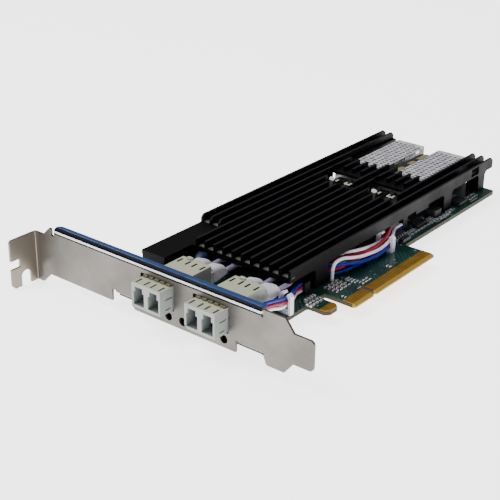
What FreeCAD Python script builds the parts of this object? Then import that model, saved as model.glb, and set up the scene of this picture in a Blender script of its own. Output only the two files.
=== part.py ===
import FreeCAD, Part
import math
import os
from FreeCAD import Vector

# Dual-port fibre network interface card with optical bypass.
# Origin: centre of the edge connector's key, at the finger edge, on the component face.
# +X runs along the card away from the bracket, +Y away from the fingers, +Z out of the
# component face.  All sizes are millimetres.

# ---------------------------------------------------------------- driving sizes
# Bracket and board against each other
key_from_bracket = 59.4      # bracket's outer face to the middle of the key
tab_above_fingers = 102.5    # underside of the screw tab above the finger edge
face_to_board = 4.7          # bracket's outer face to the front edge of the board

# Folded bracket
sheet = 0.86                 # steel thickness
bend = 0.35                  # inside radius of the tab's and the feet's folds
flange_bend = 0.85           # inside radius of the flange's fold
plate_low = -1.25            # lower edge of the plate, below the component face
plate_width = 18.42
tab_drop = 3.95              # the screw tab sits this much lower than the plate
tab_length = 11.43
tab_slot = (2.96, 7.26)      # screw slot, from the plate's outer face
tab_slot_depth = 5.45        # from the tab's lower side
tab_notch = (7.4, 10.6)      # guide notch in the tab's end, from the tab's lower side
tab_notch_start = 7.5
tab_slant = 2.2              # cut corners at the tab's end
tab_small_slant = 0.8
tongue_low = 2.83            # narrow tongue that drops into the chassis slot
tongue_width = 10.2
tongue_tip = 119.16          # below the tab's underside
tongue_shoulder = 111.9
shoulder_start = 108.6
flange_width = 3.15
flange_tab_width = 2.75      # narrower at the end next to the tab
flange_start = 9.7           # below the tab's underside
flange_end = 99.6
flange_corner = 2.2          # radius of the flange's corner next to the tab
end_relief = 0.95            # slots that free the flange and the lower foot
top_relief = 1.75            # slot that frees the upper foot
film_thick = 0.15
film_setback = 1.2
film_end_gap = 0.2
foot_lip = 1.9               # underside of the step above the board
foot_step = 3.25             # bracket's face to the step's near side
foot_reach = 11.0            # bracket's face to the end of each foot
upper_foot_top = 38.7        # below the tab's underside
foot_width = 7.3
lower_foot_top = 91.9
lower_foot_width = 9.1
foot_screw_at = 8.2          # from the bracket's outer face

# Circuit board
board_thick = 1.57
board_length = 162.87
board_height = 68.9          # finger edge to the far edge
board_step = 12.5            # edge beyond the fingers
front_step = 12.3            # edge between the bracket and the hook
ear_width = 7.3
ear_drop = 10.4              # ear's reach below front_step
corner_cut = 2.0
inner_corner = 1.0
key_width = 1.9
key_depth = 7.6
contact_pitch = 1.0
contact_width = 0.7
contact_top = 5.3
contact_thick = 0.05
short_side_contacts = 11
long_side_contacts = 38
contact_margin = 0.35        # last contact's middle to the tongue's side
bevel_height = 1.3
bevel_depth = 0.5
slot_width = 3.5             # between the tongue and the retention hook
slot_top = 12.9
hook_width = 6.9
hook_low = 4.15
hook_corner = 1.5
hook_plating_top = 7.6

# Heat sink
sink_gap = 7.37              # board to the plate's underside
sink_plate = 1.63
fin_height = 2.86
fin_count = 14
fin_thick = 0.95
sink_low_side = 17.2         # side of the last fin above the finger edge
sink_overhang = 1.5          # first fin's outer side past the board's far edge
sink_front = 33.8            # lengths along the sink start at the bracket's outer face
apron_front = 19.5           # bare plate in front of the last fins
apron_fins_front = 50.5
apron_fins = 3               # fins that start behind the apron
sink_back = 173.2
fin_tip_cut = 1.4
pocket_front = 107.0
pocket_back = 121.5
pocket_width = 12.7
pocket_drift = 5.3           # sideways, the way the fibres leave the modules
pocket_offset = 0.65         # pocket's back end from the module's middle
pocket_fins_gap = 2.7        # fins start again this far behind the pockets
cover_length = 13.4          # plate over the module noses, behind the pockets
bay_fins_reach = 3.1         # the two fins between the modules reach into the open bay
bay_side_gap = 1.0           # bay beside the lower module
bay_far_gap = 2.9
bridge_cage_gap = 0.1
bridge_top = 10.1            # plate over the module noses
bridge_thick = 1.0
leg_depth = 5.4
leg_starts = (48.3, 134.1, 162.0)
leg_widths = (6.9, 6.0, 5.2)
ledge_start = 113.0
ledge_width = 9.0
ledge_drop = 1.4
window_start = 155.4
window_width = 6.0
window_low = 8.0
window_high = 11.3

# Screws
screw_radius = 1.2
screw_head_radius = 2.2
screw_head_height = 1.5
screw_hole_clearance = 0.1
screw_grip = 4.5             # thread inside each leg

# Optical ports
adapter_places = (57.95, 80.35)   # middles below the tab's underside
adapter_width = 12.2
adapter_height = 8.6
adapter_low = 4.2
adapter_out = 5.7            # in front of the bracket's outer face
adapter_in = 19.0            # behind the bracket's outer face
adapter_chamfer = 1.2
cutout_tab_gap = 1.5         # opening beside the adapter, towards the screw tab
cutout_foot_gap = 0.75
cutout_low_gap = 0.2
cutout_high_gap = 0.8
port_pitch = 6.25
port_width = 4.6
port_height = 4.7
latch_way_width = 3.3
latch_way_height = 1.8
port_floor = 0.9             # adapter's bottom wall
port_depth = 9.0
sleeve_radius = 0.8
sleeve_bore = 0.64
sleeve_length = 6.8
boss_radius = 1.45
boss_reach = 1.6
clip_strip = 0.25            # sprung saddle over each adapter
clip_gap = 0.03
clip_depth = 5.5
led_hole_radius = 1.5
led_height = 1.7
led_places = (40.2, 34.2, 23.2, 17.2)
led_lens_radius = 1.2
led_lens_length = 1.2
led_base = 2.0
led_width = 3.0

# Plugs and boots inside
plug_tip = 11.6
plug_back = 21.0
plug_side = 4.2
boot_back = 29.5
boot_gap = 0.05
boot_droop = 1.2             # boot's thin end below the port's axis
fibre_radius = 0.9

# Optical bypass switches and the controller; shares of the span between the sink's last
# fin and the board's far edge place what stands under the sink
switch_start = 60.0
switch_length = 27.0
switch_width = 12.0
switch_height = 6.3
switch_shares = (0.505, 0.236)
ferrule_length = 3.0
ferrule_radius = 1.45
ferrule_hold = 1.5           # fibre inside each ferrule
switch_port_pitch = 4.0
switch_port_height = 3.6
controller_size = 15.0
controller_start = 62.0
controller_share = 0.81
controller_height = 2.1
pad_thick = 0.5

# Optical modules
module_shares = (0.7196, 0.3346)
module_width = 13.4
module_height = 9.9
module_setback = 1.5         # module's nose behind the pocket's back
module_end_gap = 2.6         # module in front of the sink's back end
nose_height = 8.8
module_port_pitch = 6.25
module_port_height = 5.0
module_plug_reach = 7.7      # plug's body in front of the module
module_boot_length = 5.5
module_boot_width = 3.0
module_boot_tops = (10.2, 8.2)    # each pair's outer boot stands up higher
module_pin_radius = 0.25
module_pin_pitch = 1.78
module_pin_row = 5.1         # from the module's middle
module_pin_setback = 6.0
module_pins_a_side = 5
cage_sheet = 0.3
cage_hole_radius = 0.72
cage_hole_pitch = 2.15
cage_hole_rows = 6
cage_margin = 1.7            # first hole behind the cage's front

# Wires and clips
wire_diameter = 1.2
thin_wire_diameter = 0.8
clip_width = 2.0
clip_arm = 0.9
clip_floor = 0.9
clip_peg_radius = 0.8
# middle along the card, right and left sides, heights of the right and left arms
clip_places = ((28.3, 12.2, 17.0, 7.5, 8.0), (90.0, 12.4, 19.5, 6.5, 7.0))
header_height = 6.0


# ---------------------------------------------------------------- helpers
def along(distance):
    """x of a place measured from the bracket's outer face."""
    return distance - key_from_bracket


def below_tab(distance):
    """y of a place measured down from the underside of the screw tab."""
    return tab_above_fingers - distance


def on_plane(axis, level, u, v):
    """Point at (u, v) on the plane square to the axis: (y, z), (x, z) or (x, y)."""
    if axis == "x":
        return Vector(level, u, v)
    if axis == "y":
        return Vector(u, level, v)
    return Vector(u, v, level)


def outline(axis, level, corners):
    """Closed wire through (u, v) corners; a third value is that corner's radius."""
    ends = []
    for index, corner in enumerate(corners):
        here = Vector(corner[0], corner[1], 0)
        radius = corner[2] if len(corner) > 2 else 0
        if radius == 0:
            ends.append((here, None, here))
            continue
        last = corners[index - 1]
        following = corners[(index + 1) % len(corners)]
        back = (Vector(last[0], last[1], 0) - here).normalize()
        forth = (Vector(following[0], following[1], 0) - here).normalize()
        half = back.getAngle(forth) / 2
        reach = radius / math.tan(half)
        middle = here + (back + forth).normalize() * (radius / math.sin(half) - radius)
        ends.append((here + back * reach, middle, here + forth * reach))
    edges = []
    for index, (start, middle, end) in enumerate(ends):
        placed = [on_plane(axis, level, point.x, point.y) for point in (start, end)]
        if middle is not None:
            through = on_plane(axis, level, middle.x, middle.y)
            edges.append(Part.Arc(placed[0], through, placed[1]).toShape())
        following = ends[(index + 1) % len(ends)][0]
        following = on_plane(axis, level, following.x, following.y)
        if placed[1].distanceToPoint(following) > 1e-6:
            edges.append(Part.LineSegment(placed[1], following).toShape())
    return Part.Wire(edges)


def prism(axis, corners, start, end):
    """Solid with the given outline, from one level to another along the axis."""
    face = Part.Face(outline(axis, start, corners))
    return face.extrude(on_plane(axis, end - start, 0, 0))


def block(x, y, z):
    """Box from (start, end) pairs."""
    return Part.makeBox(x[1] - x[0], y[1] - y[0], z[1] - z[0], Vector(x[0], y[0], z[0]))


def rod(axis, centre, radius, start, end):
    """Round bar along the axis, its middle at (u, v)."""
    return Part.makeCylinder(
        radius, end - start, on_plane(axis, start, *centre), on_plane(axis, 1, 0, 0))


def rectangle(u, v, radius=0):
    """Corners of a rectangle from (start, end) pairs."""
    return [(u[0], v[0], radius), (u[1], v[0], radius),
            (u[1], v[1], radius), (u[0], v[1], radius)]


def joined(shapes):
    """One solid from pieces that touch or overlap."""
    whole = shapes[0].fuse(shapes[1:]) if len(shapes) > 1 else shapes[0]
    return whole.removeSplitter()


def around(middle, width):
    return (middle - width / 2, middle + width / 2)


def save(name, shape):
    shape.exportStep("parts/" + name + ".step")
    print(name, len(shape.Solids), "solids", round(shape.Volume, 2), "mm3")


def cord(name, points, diameter):
    """Round cord: straight runs joined by arcs as wide as the runs allow."""
    path = [Vector(*point) for point in points]
    edges = []
    radii = []
    start = path[0]
    for index in range(1, len(path) - 1):
        back = path[index - 1] - path[index]
        forth = path[index + 1] - path[index]
        shorter = min(back.Length, forth.Length)
        back.normalize()
        forth.normalize()
        half_turn = (math.pi - back.getAngle(forth)) / 2
        reach = 0.45 * shorter
        radius = reach / math.tan(half_turn)
        radii.append(round(radius, 1))
        first = path[index] + back * reach
        last = path[index] + forth * reach
        inward = (back + forth).normalize()
        middle = path[index] + inward * (radius / math.cos(half_turn) - radius)
        edges.append(Part.LineSegment(start, first).toShape())
        edges.append(Part.Arc(first, middle, last).toShape())
        start = last
    edges.append(Part.LineSegment(start, path[-1]).toShape())
    route = Part.Wire(edges)
    circle = Part.Circle(path[0], path[1] - path[0], diameter / 2).toShape()
    tube = route.makePipeShell([Part.Wire(circle)], True, False)
    expected = math.pi * diameter ** 2 / 4 * route.Length
    print(name, "length", round(route.Length, 1), "radii", radii,
          "volume ratio", round(tube.Volume / expected, 4))
    save(name, tube)


# ---------------------------------------------------------------- derived places
tab_low = plate_low - tab_drop
tab_high = tab_low + plate_width
plate_high = plate_low + plate_width
tongue_high = tongue_low + tongue_width
bend_out = bend + sheet
flange_bend_out = flange_bend + sheet
face_x = along(0)
back_x = along(sheet)

board_front = along(face_to_board)
board_back = board_front + board_length
tongue_front = -(contact_margin + short_side_contacts * contact_pitch + 0.5 * contact_pitch)
tongue_back = contact_margin + long_side_contacts * contact_pitch + 0.5 * contact_pitch
hook_back = tongue_front - slot_width
hook_front = hook_back - hook_width

sink_top = sink_gap + sink_plate
fin_top = sink_top + fin_height
sink_high_side = board_height + sink_overhang
sink_span = board_height - sink_low_side
first_fin = sink_high_side - fin_thick / 2
fin_pitch = (first_fin - sink_low_side - fin_thick / 2) / (fin_count - 1)
fins = [first_fin - index * fin_pitch for index in range(fin_count)]
pocket_fins_back = pocket_back + pocket_fins_gap
bay_front = pocket_back + cover_length
bay_fins_back = bay_front + bay_fins_reach

adapters = [below_tab(place) for place in adapter_places]
ports = [middle + side * port_pitch / 2 for middle in adapters for side in (1, -1)]
adapter_top = adapter_low + adapter_height
port_low = adapter_low + port_floor
port_axis = port_low + port_height / 2
cutout_top = adapter_top + cutout_high_gap

switch_places = [sink_low_side + share * sink_span for share in switch_shares]
switch_ports = [middle + side * switch_port_pitch / 2
                for middle in switch_places for side in (1, -1)]
controller_middle = sink_low_side + controller_share * sink_span
controller_x = (along(controller_start), along(controller_start + controller_size))
controller_y = (controller_middle - controller_size / 2, controller_middle + controller_size / 2)

module_places = [sink_low_side + share * sink_span for share in module_shares]
module_ports = [middle + side * module_port_pitch / 2
                for middle in module_places for side in (1, -1)]
module_front = pocket_back + module_setback
module_back = sink_back - module_end_gap
module_plug_front = module_front - module_plug_reach
module_boot_lean = pocket_drift / (pocket_back - pocket_front)


# ---------------------------------------------------------------- bracket
def bracket_face():
    """Flat blank of the plate, with its notches, ear, tongue and relief slots."""
    foot_edge = foot_lip + bend_out
    fold = plate_high - flange_bend_out
    upper_foot_low = upper_foot_top + foot_width
    lower_foot_low = lower_foot_top + lower_foot_width
    corners = [
        (below_tab(bend), tab_high), (below_tab(4.05), tab_high),
        (below_tab(7.35), tab_high + 3.3), (below_tab(8.25), tab_high + 3.3, 0.4),
        (below_tab(8.25), fold - 1.6), (below_tab(flange_start), fold - 1.6, 0.4),
        (below_tab(flange_start), fold), (below_tab(flange_end), fold),
        (below_tab(flange_end), fold - 0.9, 0.3),
        (below_tab(flange_end + end_relief), fold - 0.9, 0.3),
        (below_tab(flange_end + end_relief), plate_high),
        (below_tab(shoulder_start), plate_high),
        (below_tab(tongue_shoulder), tongue_high),
        (below_tab(tongue_tip), tongue_high, 1.5), (below_tab(tongue_tip), tongue_low, 1.5),
        (below_tab(tongue_shoulder), tongue_low), (below_tab(shoulder_start), plate_low),
        (below_tab(lower_foot_low + end_relief), plate_low, 1.0),
        (below_tab(lower_foot_low), foot_lip - 0.9),
        (below_tab(lower_foot_low), foot_edge), (below_tab(lower_foot_top), foot_edge),
        (below_tab(lower_foot_top), foot_lip + 0.4), (below_tab(lower_foot_top - 1.9), 3.1),
        (below_tab(lower_foot_top - 1.9), plate_low), (below_tab(upper_foot_low + 1.4), plate_low),
        (below_tab(upper_foot_low), plate_low + 1.4), (below_tab(upper_foot_low), foot_edge),
        (below_tab(upper_foot_top), foot_edge), (below_tab(upper_foot_top), 3.1, 0.3),
        (below_tab(upper_foot_top - top_relief), 3.1, 0.3),
        (below_tab(upper_foot_top - top_relief), plate_low), (below_tab(6.8), plate_low),
        (below_tab(3.4), plate_low - 3.4), (below_tab(2.85), tab_low, 0.3),
        (below_tab(bend), tab_low)]
    return prism("x", corners, face_x, back_x)


def screw_tab():
    """Tab folded outward at the top, with an open screw slot and a guide notch."""
    profile = [
        (back_x, below_tab(bend)), (back_x, below_tab(-sheet), bend_out),
        (face_x - tab_length, below_tab(-sheet)), (face_x - tab_length, below_tab(0)),
        (face_x, below_tab(0), bend), (face_x, below_tab(bend))]
    strip = prism("z", profile, tab_low, tab_high)
    slot_near, slot_far = face_x - tab_slot[0], face_x - tab_slot[1]
    slot_end = tab_low + tab_slot_depth
    slot_radius = (slot_near - slot_far) / 2 - 0.01
    tip = face_x - tab_length
    edge = tip - 1
    cuts = [
        [(slot_far, tab_low - 1), (slot_near, tab_low - 1),
         (slot_near, slot_end, slot_radius), (slot_far, slot_end, slot_radius)],
        rectangle((edge, face_x - tab_notch_start),
                  (tab_low + tab_notch[0], tab_low + tab_notch[1]), 0.3),
        [(edge, tab_high + 1), (edge, tab_high - tab_small_slant - 1),
         (tip + tab_small_slant + 1, tab_high + 1)],
        [(edge, tab_low - 1), (edge, tab_low + tab_slant), (tip + tab_slant, tab_low - 1)]]
    for cut in cuts:
        strip = strip.cut(prism("y", cut, below_tab(1), below_tab(-sheet - 1)))
    return strip


def top_flange():
    """Stiffening flange along the upper long edge."""
    fold = plate_high - flange_bend_out
    profile = [
        (face_x, fold), (face_x, plate_high, flange_bend_out), (along(flange_width), plate_high),
        (along(flange_width), plate_high - sheet), (back_x, plate_high - sheet, flange_bend),
        (back_x, fold)]
    strip = prism("y", profile, below_tab(flange_end), below_tab(flange_start))
    return strip.common(flange_plan(0, plate_low, plate_high + 1))


def flange_plan(gap, low, high):
    """The flange seen from above, with its corner next to the tab rounded off."""
    return prism("z", [
        (face_x - 1, below_tab(flange_end - gap)),
        (along(flange_width), below_tab(flange_end - gap)),
        (along(flange_tab_width), below_tab(flange_start + gap), flange_corner),
        (face_x - 1, below_tab(flange_start + gap))], low, high)


def foot(top, width):
    """Joggled foot: steps in from the plate, down to the board and along it."""
    profile = [
        (face_x, foot_lip + bend_out), (face_x, foot_lip, bend_out),
        (along(foot_step), foot_lip, bend), (along(foot_step), 0, bend_out),
        (along(foot_reach), 0), (along(foot_reach), sheet),
        (along(foot_step + sheet), sheet, bend),
        (along(foot_step + sheet), foot_lip + sheet, bend_out),
        (back_x, foot_lip + sheet, bend), (back_x, foot_lip + bend_out)]
    return prism("y", profile, below_tab(top + width), below_tab(top))


def foot_middles():
    return (below_tab(upper_foot_top + foot_width / 2),
            below_tab(lower_foot_top + lower_foot_width / 2))


def make_bracket():
    body = joined([bracket_face(), screw_tab(), top_flange(),
                   foot(upper_foot_top, foot_width), foot(lower_foot_top, lower_foot_width)])
    for middle in adapters:
        opening = rectangle(
            (middle - adapter_width / 2 - cutout_foot_gap,
             middle + adapter_width / 2 + cutout_tab_gap),
            (adapter_low - cutout_low_gap, cutout_top), 0.5)
        body = body.cut(prism("x", opening, face_x - 1, back_x + 1))
    for place in led_places:
        body = body.cut(rod("x", (place, led_height), led_hole_radius, face_x - 1, back_x + 1))
    for middle in foot_middles():
        body = body.cut(rod("z", (along(foot_screw_at), middle),
                            screw_radius + screw_hole_clearance, -1, sheet + 1))
    save("bracket", body)


def make_flange_film():
    levels = (plate_high, plate_high + film_thick)
    strip = block((along(film_setback), along(flange_width)),
                  (below_tab(flange_end), below_tab(flange_start)), levels)
    save("flange_film", strip.common(flange_plan(film_end_gap, *levels)))


# ---------------------------------------------------------------- circuit board
def board_corners():
    ear_back = board_front + ear_width
    ear_low = front_step - ear_drop
    key_side = key_width / 2
    return [
        (board_front, ear_low, inner_corner), (board_front, board_height - corner_cut),
        (board_front + corner_cut, board_height), (board_back - corner_cut, board_height),
        (board_back, board_height - corner_cut), (board_back, board_step, inner_corner),
        (tongue_back, board_step, inner_corner), (tongue_back, 0, 0.6),
        (key_side, 0, 0.3), (key_side, key_depth, key_side - 0.01),
        (-key_side, key_depth, key_side - 0.01), (-key_side, 0, 0.3),
        (tongue_front, 0, 0.6), (tongue_front, slot_top, inner_corner),
        (hook_back, slot_top, inner_corner), (hook_back, hook_low + hook_corner),
        (hook_back - hook_corner, hook_low), (hook_front + hook_corner, hook_low),
        (hook_front, hook_low + hook_corner), (hook_front, front_step, inner_corner),
        (ear_back, front_step, inner_corner), (ear_back, ear_low, inner_corner)]


def leg_middles():
    """Screw places of the heat sink: three legs by the fingers, three along the far edge."""
    near = sink_low_side + leg_depth / 2
    far = board_height - leg_depth / 2
    xs = [along(start + width / 2) for start, width in zip(leg_starts, leg_widths)]
    return [(x, near) for x in xs] + [(x, far) for x in xs]


def module_pins(middle):
    """Places of the pin rows under one optical module."""
    last = along(module_back) - module_pin_setback
    return [(last - index * module_pin_pitch, middle + side * module_pin_row)
            for side in (-1, 1) for index in range(module_pins_a_side)]


def clip_peg(middle_x, right, left):
    return (along(middle_x), (right + left) / 2)


def make_circuit_board():
    body = prism("z", board_corners(), -board_thick, 0)
    for level, depth in ((0, -bevel_depth), (-board_thick, bevel_depth)):
        bevel = [(-1, level - depth), (0, level + depth), (bevel_height, level),
                 (bevel_height, level - depth)]
        body = body.cut(prism("x", bevel, tongue_front - 1, tongue_back + 1))
    hole = screw_radius + screw_hole_clearance
    for place in leg_middles():
        body = body.cut(rod("z", place, hole, -board_thick - 1, 1))
    for middle in foot_middles():
        body = body.cut(rod("z", (along(foot_screw_at), middle), hole, -board_thick - 1, 1))
    small_holes = []
    for middle in module_places:
        for place in module_pins(middle):
            small_holes.append(rod("z", place, module_pin_radius + 0.05, -board_thick - 1, 1))
    for middle_x, right, left, right_height, left_height in clip_places:
        small_holes.append(rod("z", clip_peg(middle_x, right, left), clip_peg_radius + 0.05,
                               -board_thick - 1, 1))
    save("circuit_board", body.cut(small_holes))


def make_edge_contacts():
    """Gold fingers on both faces, and the plating of the retention hook."""
    offset = key_width / 2 + 0.05 + contact_pitch / 2
    places = [-(offset + index * contact_pitch) for index in range(short_side_contacts)]
    places += [offset + index * contact_pitch for index in range(long_side_contacts)]
    span = (bevel_height + 0.1, contact_top)
    pads = []
    for place in places:
        for level in (0, -board_thick - contact_thick):
            pads.append(block(around(place, contact_width), span,
                              (level, level + contact_thick)))
    hook = [
        (hook_back, hook_plating_top), (hook_back, hook_low + hook_corner),
        (hook_back - hook_corner, hook_low), (hook_front + hook_corner, hook_low),
        (hook_front, hook_low + hook_corner), (hook_front, hook_plating_top)]
    for level in (0, -board_thick - contact_thick):
        pads.append(prism("z", hook, level, level + contact_thick))
    save("edge_contacts", Part.Compound(pads))


# ---------------------------------------------------------------- heat sink
def fin_comb():
    """Plate and fins as one profile along the whole length."""
    teeth = []
    for middle in fins:
        high, low = middle + fin_thick / 2, middle - fin_thick / 2
        teeth += [(high, sink_top), (high, fin_top), (low, fin_top), (low, sink_top)]
    # the outermost fins are flush with the plate's two sides
    corners = [(sink_low_side, sink_gap), (sink_high_side, sink_gap)] + teeth[1:-1]
    return prism("x", corners, along(apron_front), along(sink_back))


def fibre_pocket(middle):
    """Slanted opening over the plugs of one optical module."""
    far = around(middle + pocket_offset, pocket_width)
    corners = [(along(pocket_front), far[0] - pocket_drift), (along(pocket_back), far[0]),
               (along(pocket_back), far[1]), (along(pocket_front), far[1] - pocket_drift)]
    return prism("z", corners, sink_gap - 1, fin_top + 1)


def sink_legs():
    legs = []
    for start, width in zip(leg_starts, leg_widths):
        x = (along(start), along(start + width))
        flare = [(x[0] - 1.2, sink_gap + 0.1), (x[0], sink_gap - 1.2), (x[0], 0),
                 (x[1], 0), (x[1], sink_gap - 1.2), (x[1] + 1.2, sink_gap + 0.1)]
        legs.append(prism("y", flare, sink_low_side, sink_low_side + leg_depth))
        legs.append(prism("y", flare, board_height - leg_depth, board_height))
    return legs


def make_heat_sink():
    body = fin_comb()
    below, above = sink_gap - 1, fin_top + 1
    apron_low = fins[apron_fins] + fin_pitch - fin_thick / 2 - 1.6
    low, high = sink_low_side - 1, sink_high_side + 1
    half_module = module_width / 2
    bay = (module_places[1] - half_module - bay_side_gap,
           module_places[0] + half_module + bay_far_gap)
    bridge_fins = (module_places[1] + half_module + bridge_cage_gap,
                   module_places[0] - half_module - bridge_cage_gap)
    back = along(sink_back)
    body = joined([
        body,
        block((along(pocket_back), along(bay_front)), bay, (sink_gap, bridge_top)),
        block((along(ledge_start), along(ledge_start + ledge_width)),
              (sink_low_side, sink_low_side + fin_thick), (sink_gap - ledge_drop, sink_top))
    ] + sink_legs())
    cuts = [
        block((along(apron_front - 1), along(sink_front)), (low, apron_low), (below, above)),
        block((along(apron_front - 1), along(apron_fins_front)), (apron_low, high),
              (sink_top, above)),
        block((along(bay_fins_back), back + 1), bay, (below, above)),
        block((along(bay_front), along(bay_fins_back)), (bay[0], bridge_fins[0]),
              (below, above)),
        block((along(bay_front), along(bay_fins_back)), (bridge_fins[1], bay[1]),
              (below, above)),
        block((along(pocket_back), along(bay_fins_back)), bay,
              (below, bridge_top - bridge_thick)),
        block((along(window_start), along(window_start + window_width)),
              (sink_low_side - 1, sink_low_side + fin_thick), (window_low, window_high)),
        prism("y", [(along(apron_fins_front - 1), fin_top - 1.2),
                    (along(apron_fins_front), fin_top - 1.2),
                    (along(apron_fins_front + 1.2), fin_top),
                    (along(apron_fins_front + 1.2), above),
                    (along(apron_fins_front - 1), above)], apron_low, high),
        prism("y", [(back - fin_tip_cut, fin_top), (back, fin_top - fin_tip_cut),
                    (back + 1, fin_top - fin_tip_cut), (back + 1, above),
                    (back - fin_tip_cut, above)], low, high)]
    for middle in module_places:
        cuts.append(fibre_pocket(middle))
        span = around(middle, pocket_width + 2)
        cuts.append(block((along(pocket_back - 1), along(pocket_fins_back)), span,
                          (bridge_top, above)))
    for x, y in leg_middles():
        cuts.append(rod("z", (x, y), screw_radius + screw_hole_clearance, -1, screw_grip + 0.3))
    body = body.cut(cuts).removeSplitter()
    body = joined([body, controller_pedestal()])
    save("heat_sink", body)


# ---------------------------------------------------------------- screws
def board_screw(place, top):
    """Screw from under the board, up to the given height."""
    head = rod("z", place, screw_head_radius, -board_thick - screw_head_height, -board_thick)
    return head.fuse(rod("z", place, screw_radius, -board_thick, top)).removeSplitter()


def make_screws():
    save("sink_screws", Part.Compound([board_screw(place, screw_grip)
                                       for place in leg_middles()]))
    save("bracket_screws", Part.Compound([board_screw((along(foot_screw_at), middle), sheet)
                                          for middle in foot_middles()]))


# ---------------------------------------------------------------- chips under the sink
def controller_pedestal():
    """Cast block under the plate that presses on the controller's thermal pad."""
    low = controller_height + pad_thick
    inset = 1.0
    wires = []
    for level, spread in ((low, inset), (sink_gap, 0)):
        wires.append(outline("z", level, rectangle(
            (controller_x[0] + spread, controller_x[1] - spread),
            (controller_y[0] + spread, controller_y[1] - spread))))
    return Part.makeLoft(wires, True, True)


def make_controller():
    ball_gap = 0.35
    body = block(controller_x, controller_y, (ball_gap, controller_height))
    balls = []
    for x in (controller_x[0] + 1.5, controller_x[1] - 1.5):
        for y in (controller_y[0] + 1.5, controller_y[1] - 1.5):
            balls.append(rod("z", (x, y), 0.6, 0, ball_gap))
    save("controller_chip", joined([body] + balls))
    inset = 1.2
    pad = block((controller_x[0] + inset, controller_x[1] - inset),
                (controller_y[0] + inset, controller_y[1] - inset),
                (controller_height, controller_height + pad_thick))
    save("thermal_pad", pad)


def make_bypass_switches():
    """Metal-cased optical switches with a pin row and fibre sleeves at both ends."""
    for number, middle in enumerate(switch_places, 1):
        x = (along(switch_start), along(switch_start + switch_length))
        case = prism("x", rectangle(around(middle, switch_width), (0.4, switch_height), 0.6),
                     x[0], x[1])
        pieces = [case]
        for side in (-1, 1):
            y = middle + side * switch_port_pitch / 2
            pieces.append(rod("x", (y, switch_port_height), ferrule_radius,
                              x[0] - ferrule_length, x[1] + ferrule_length))
            for index in range(5):
                pin = (x[0] + 5 + index * 4.2, middle + side * (switch_width / 2 - 1.2))
                pieces.append(rod("z", pin, 0.3, 0, 0.5))
        body = joined(pieces)
        for side in (-1, 1):
            y = middle + side * switch_port_pitch / 2
            for mouth in (x[0] - ferrule_length, x[1] + ferrule_length):
                body = body.cut(rod("x", (y, switch_port_height), fibre_radius + 0.02,
                                    mouth - ferrule_hold, mouth + ferrule_hold))
        save("bypass_switch_" + str(number), body)


# ---------------------------------------------------------------- optical ports
def port_outline(middle):
    """Square plug way with the narrower latch way above it."""
    side = port_width / 2
    latch = latch_way_width / 2
    shoulder = port_low + port_height
    top = shoulder + latch_way_height
    return [(middle - side, port_low), (middle + side, port_low), (middle + side, shoulder),
            (middle + latch, shoulder), (middle + latch, top), (middle - latch, top),
            (middle - latch, shoulder), (middle - side, shoulder)]


def make_lc_adapters():
    for number, middle in enumerate(adapters, 1):
        front, back = along(-adapter_out), along(adapter_in)
        half = adapter_width / 2
        body = prism("x", [
            (middle - half, adapter_low), (middle + half - adapter_chamfer, adapter_low),
            (middle + half, adapter_low + adapter_chamfer), (middle + half, adapter_top),
            (middle - half, adapter_top)], front, back)
        rear_tab = block((back, back + 0.8), around(middle, 1.6), (adapter_top - 2.2, adapter_top))
        body = joined([body, rear_tab])
        cuts = []
        web = (front + port_depth, back - port_depth)
        bosses = []
        for port in ports[2 * number - 2:2 * number]:
            cuts.append(prism("x", port_outline(port), front - 1, web[0]))
            cuts.append(prism("x", port_outline(port), web[1], back + 2))
            bosses.append(rod("x", (port, port_axis), boss_radius, web[0] - boss_reach,
                              web[1] + boss_reach))
            for side in (-1, 1):
                slot = around(port + side * 1.75, 0.8)
                for x in ((front + 0.8, front + 3.7), (back - 4.5, back - 1.6)):
                    cuts.append(block(x, slot, (adapter_top - 0.85, adapter_top + 1)))
        for z, length in ((9.1, 3.3), (5.6, 2.4)):
            cuts.append(block((front + 2.3, front + 2.3 + length),
                              (middle - half - 1, middle - half + 0.4), around(z, 0.45)))
        body = joined([body.cut(cuts)] + bosses)
        for port in ports[2 * number - 2:2 * number]:
            centre = (web[0] + web[1]) / 2
            body = body.cut(rod("x", (port, port_axis), sleeve_radius + 0.05,
                                centre - sleeve_length / 2, centre + sleeve_length / 2))
            body = body.cut(rod("x", (port, port_axis), sleeve_bore, front, back))
        save("lc_adapter_" + str(number), body)


def make_alignment_sleeves():
    """Split ceramic tubes that line the ferrules up, one in each port."""
    centre = along((adapter_in - adapter_out) / 2)
    sleeves = []
    for port in ports:
        x = (centre - sleeve_length / 2 + 0.05, centre + sleeve_length / 2 - 0.05)
        tube = rod("x", (port, port_axis), sleeve_radius, x[0], x[1])
        tube = tube.cut(rod("x", (port, port_axis), sleeve_bore, x[0] - 1, x[1] + 1))
        split = block((x[0] - 1, x[1] + 1), around(port, 0.12),
                      (port_axis, port_axis + 2 * sleeve_radius))
        sleeves.append(tube.cut(split))
    save("alignment_sleeves", Part.Compound(sleeves))


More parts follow.
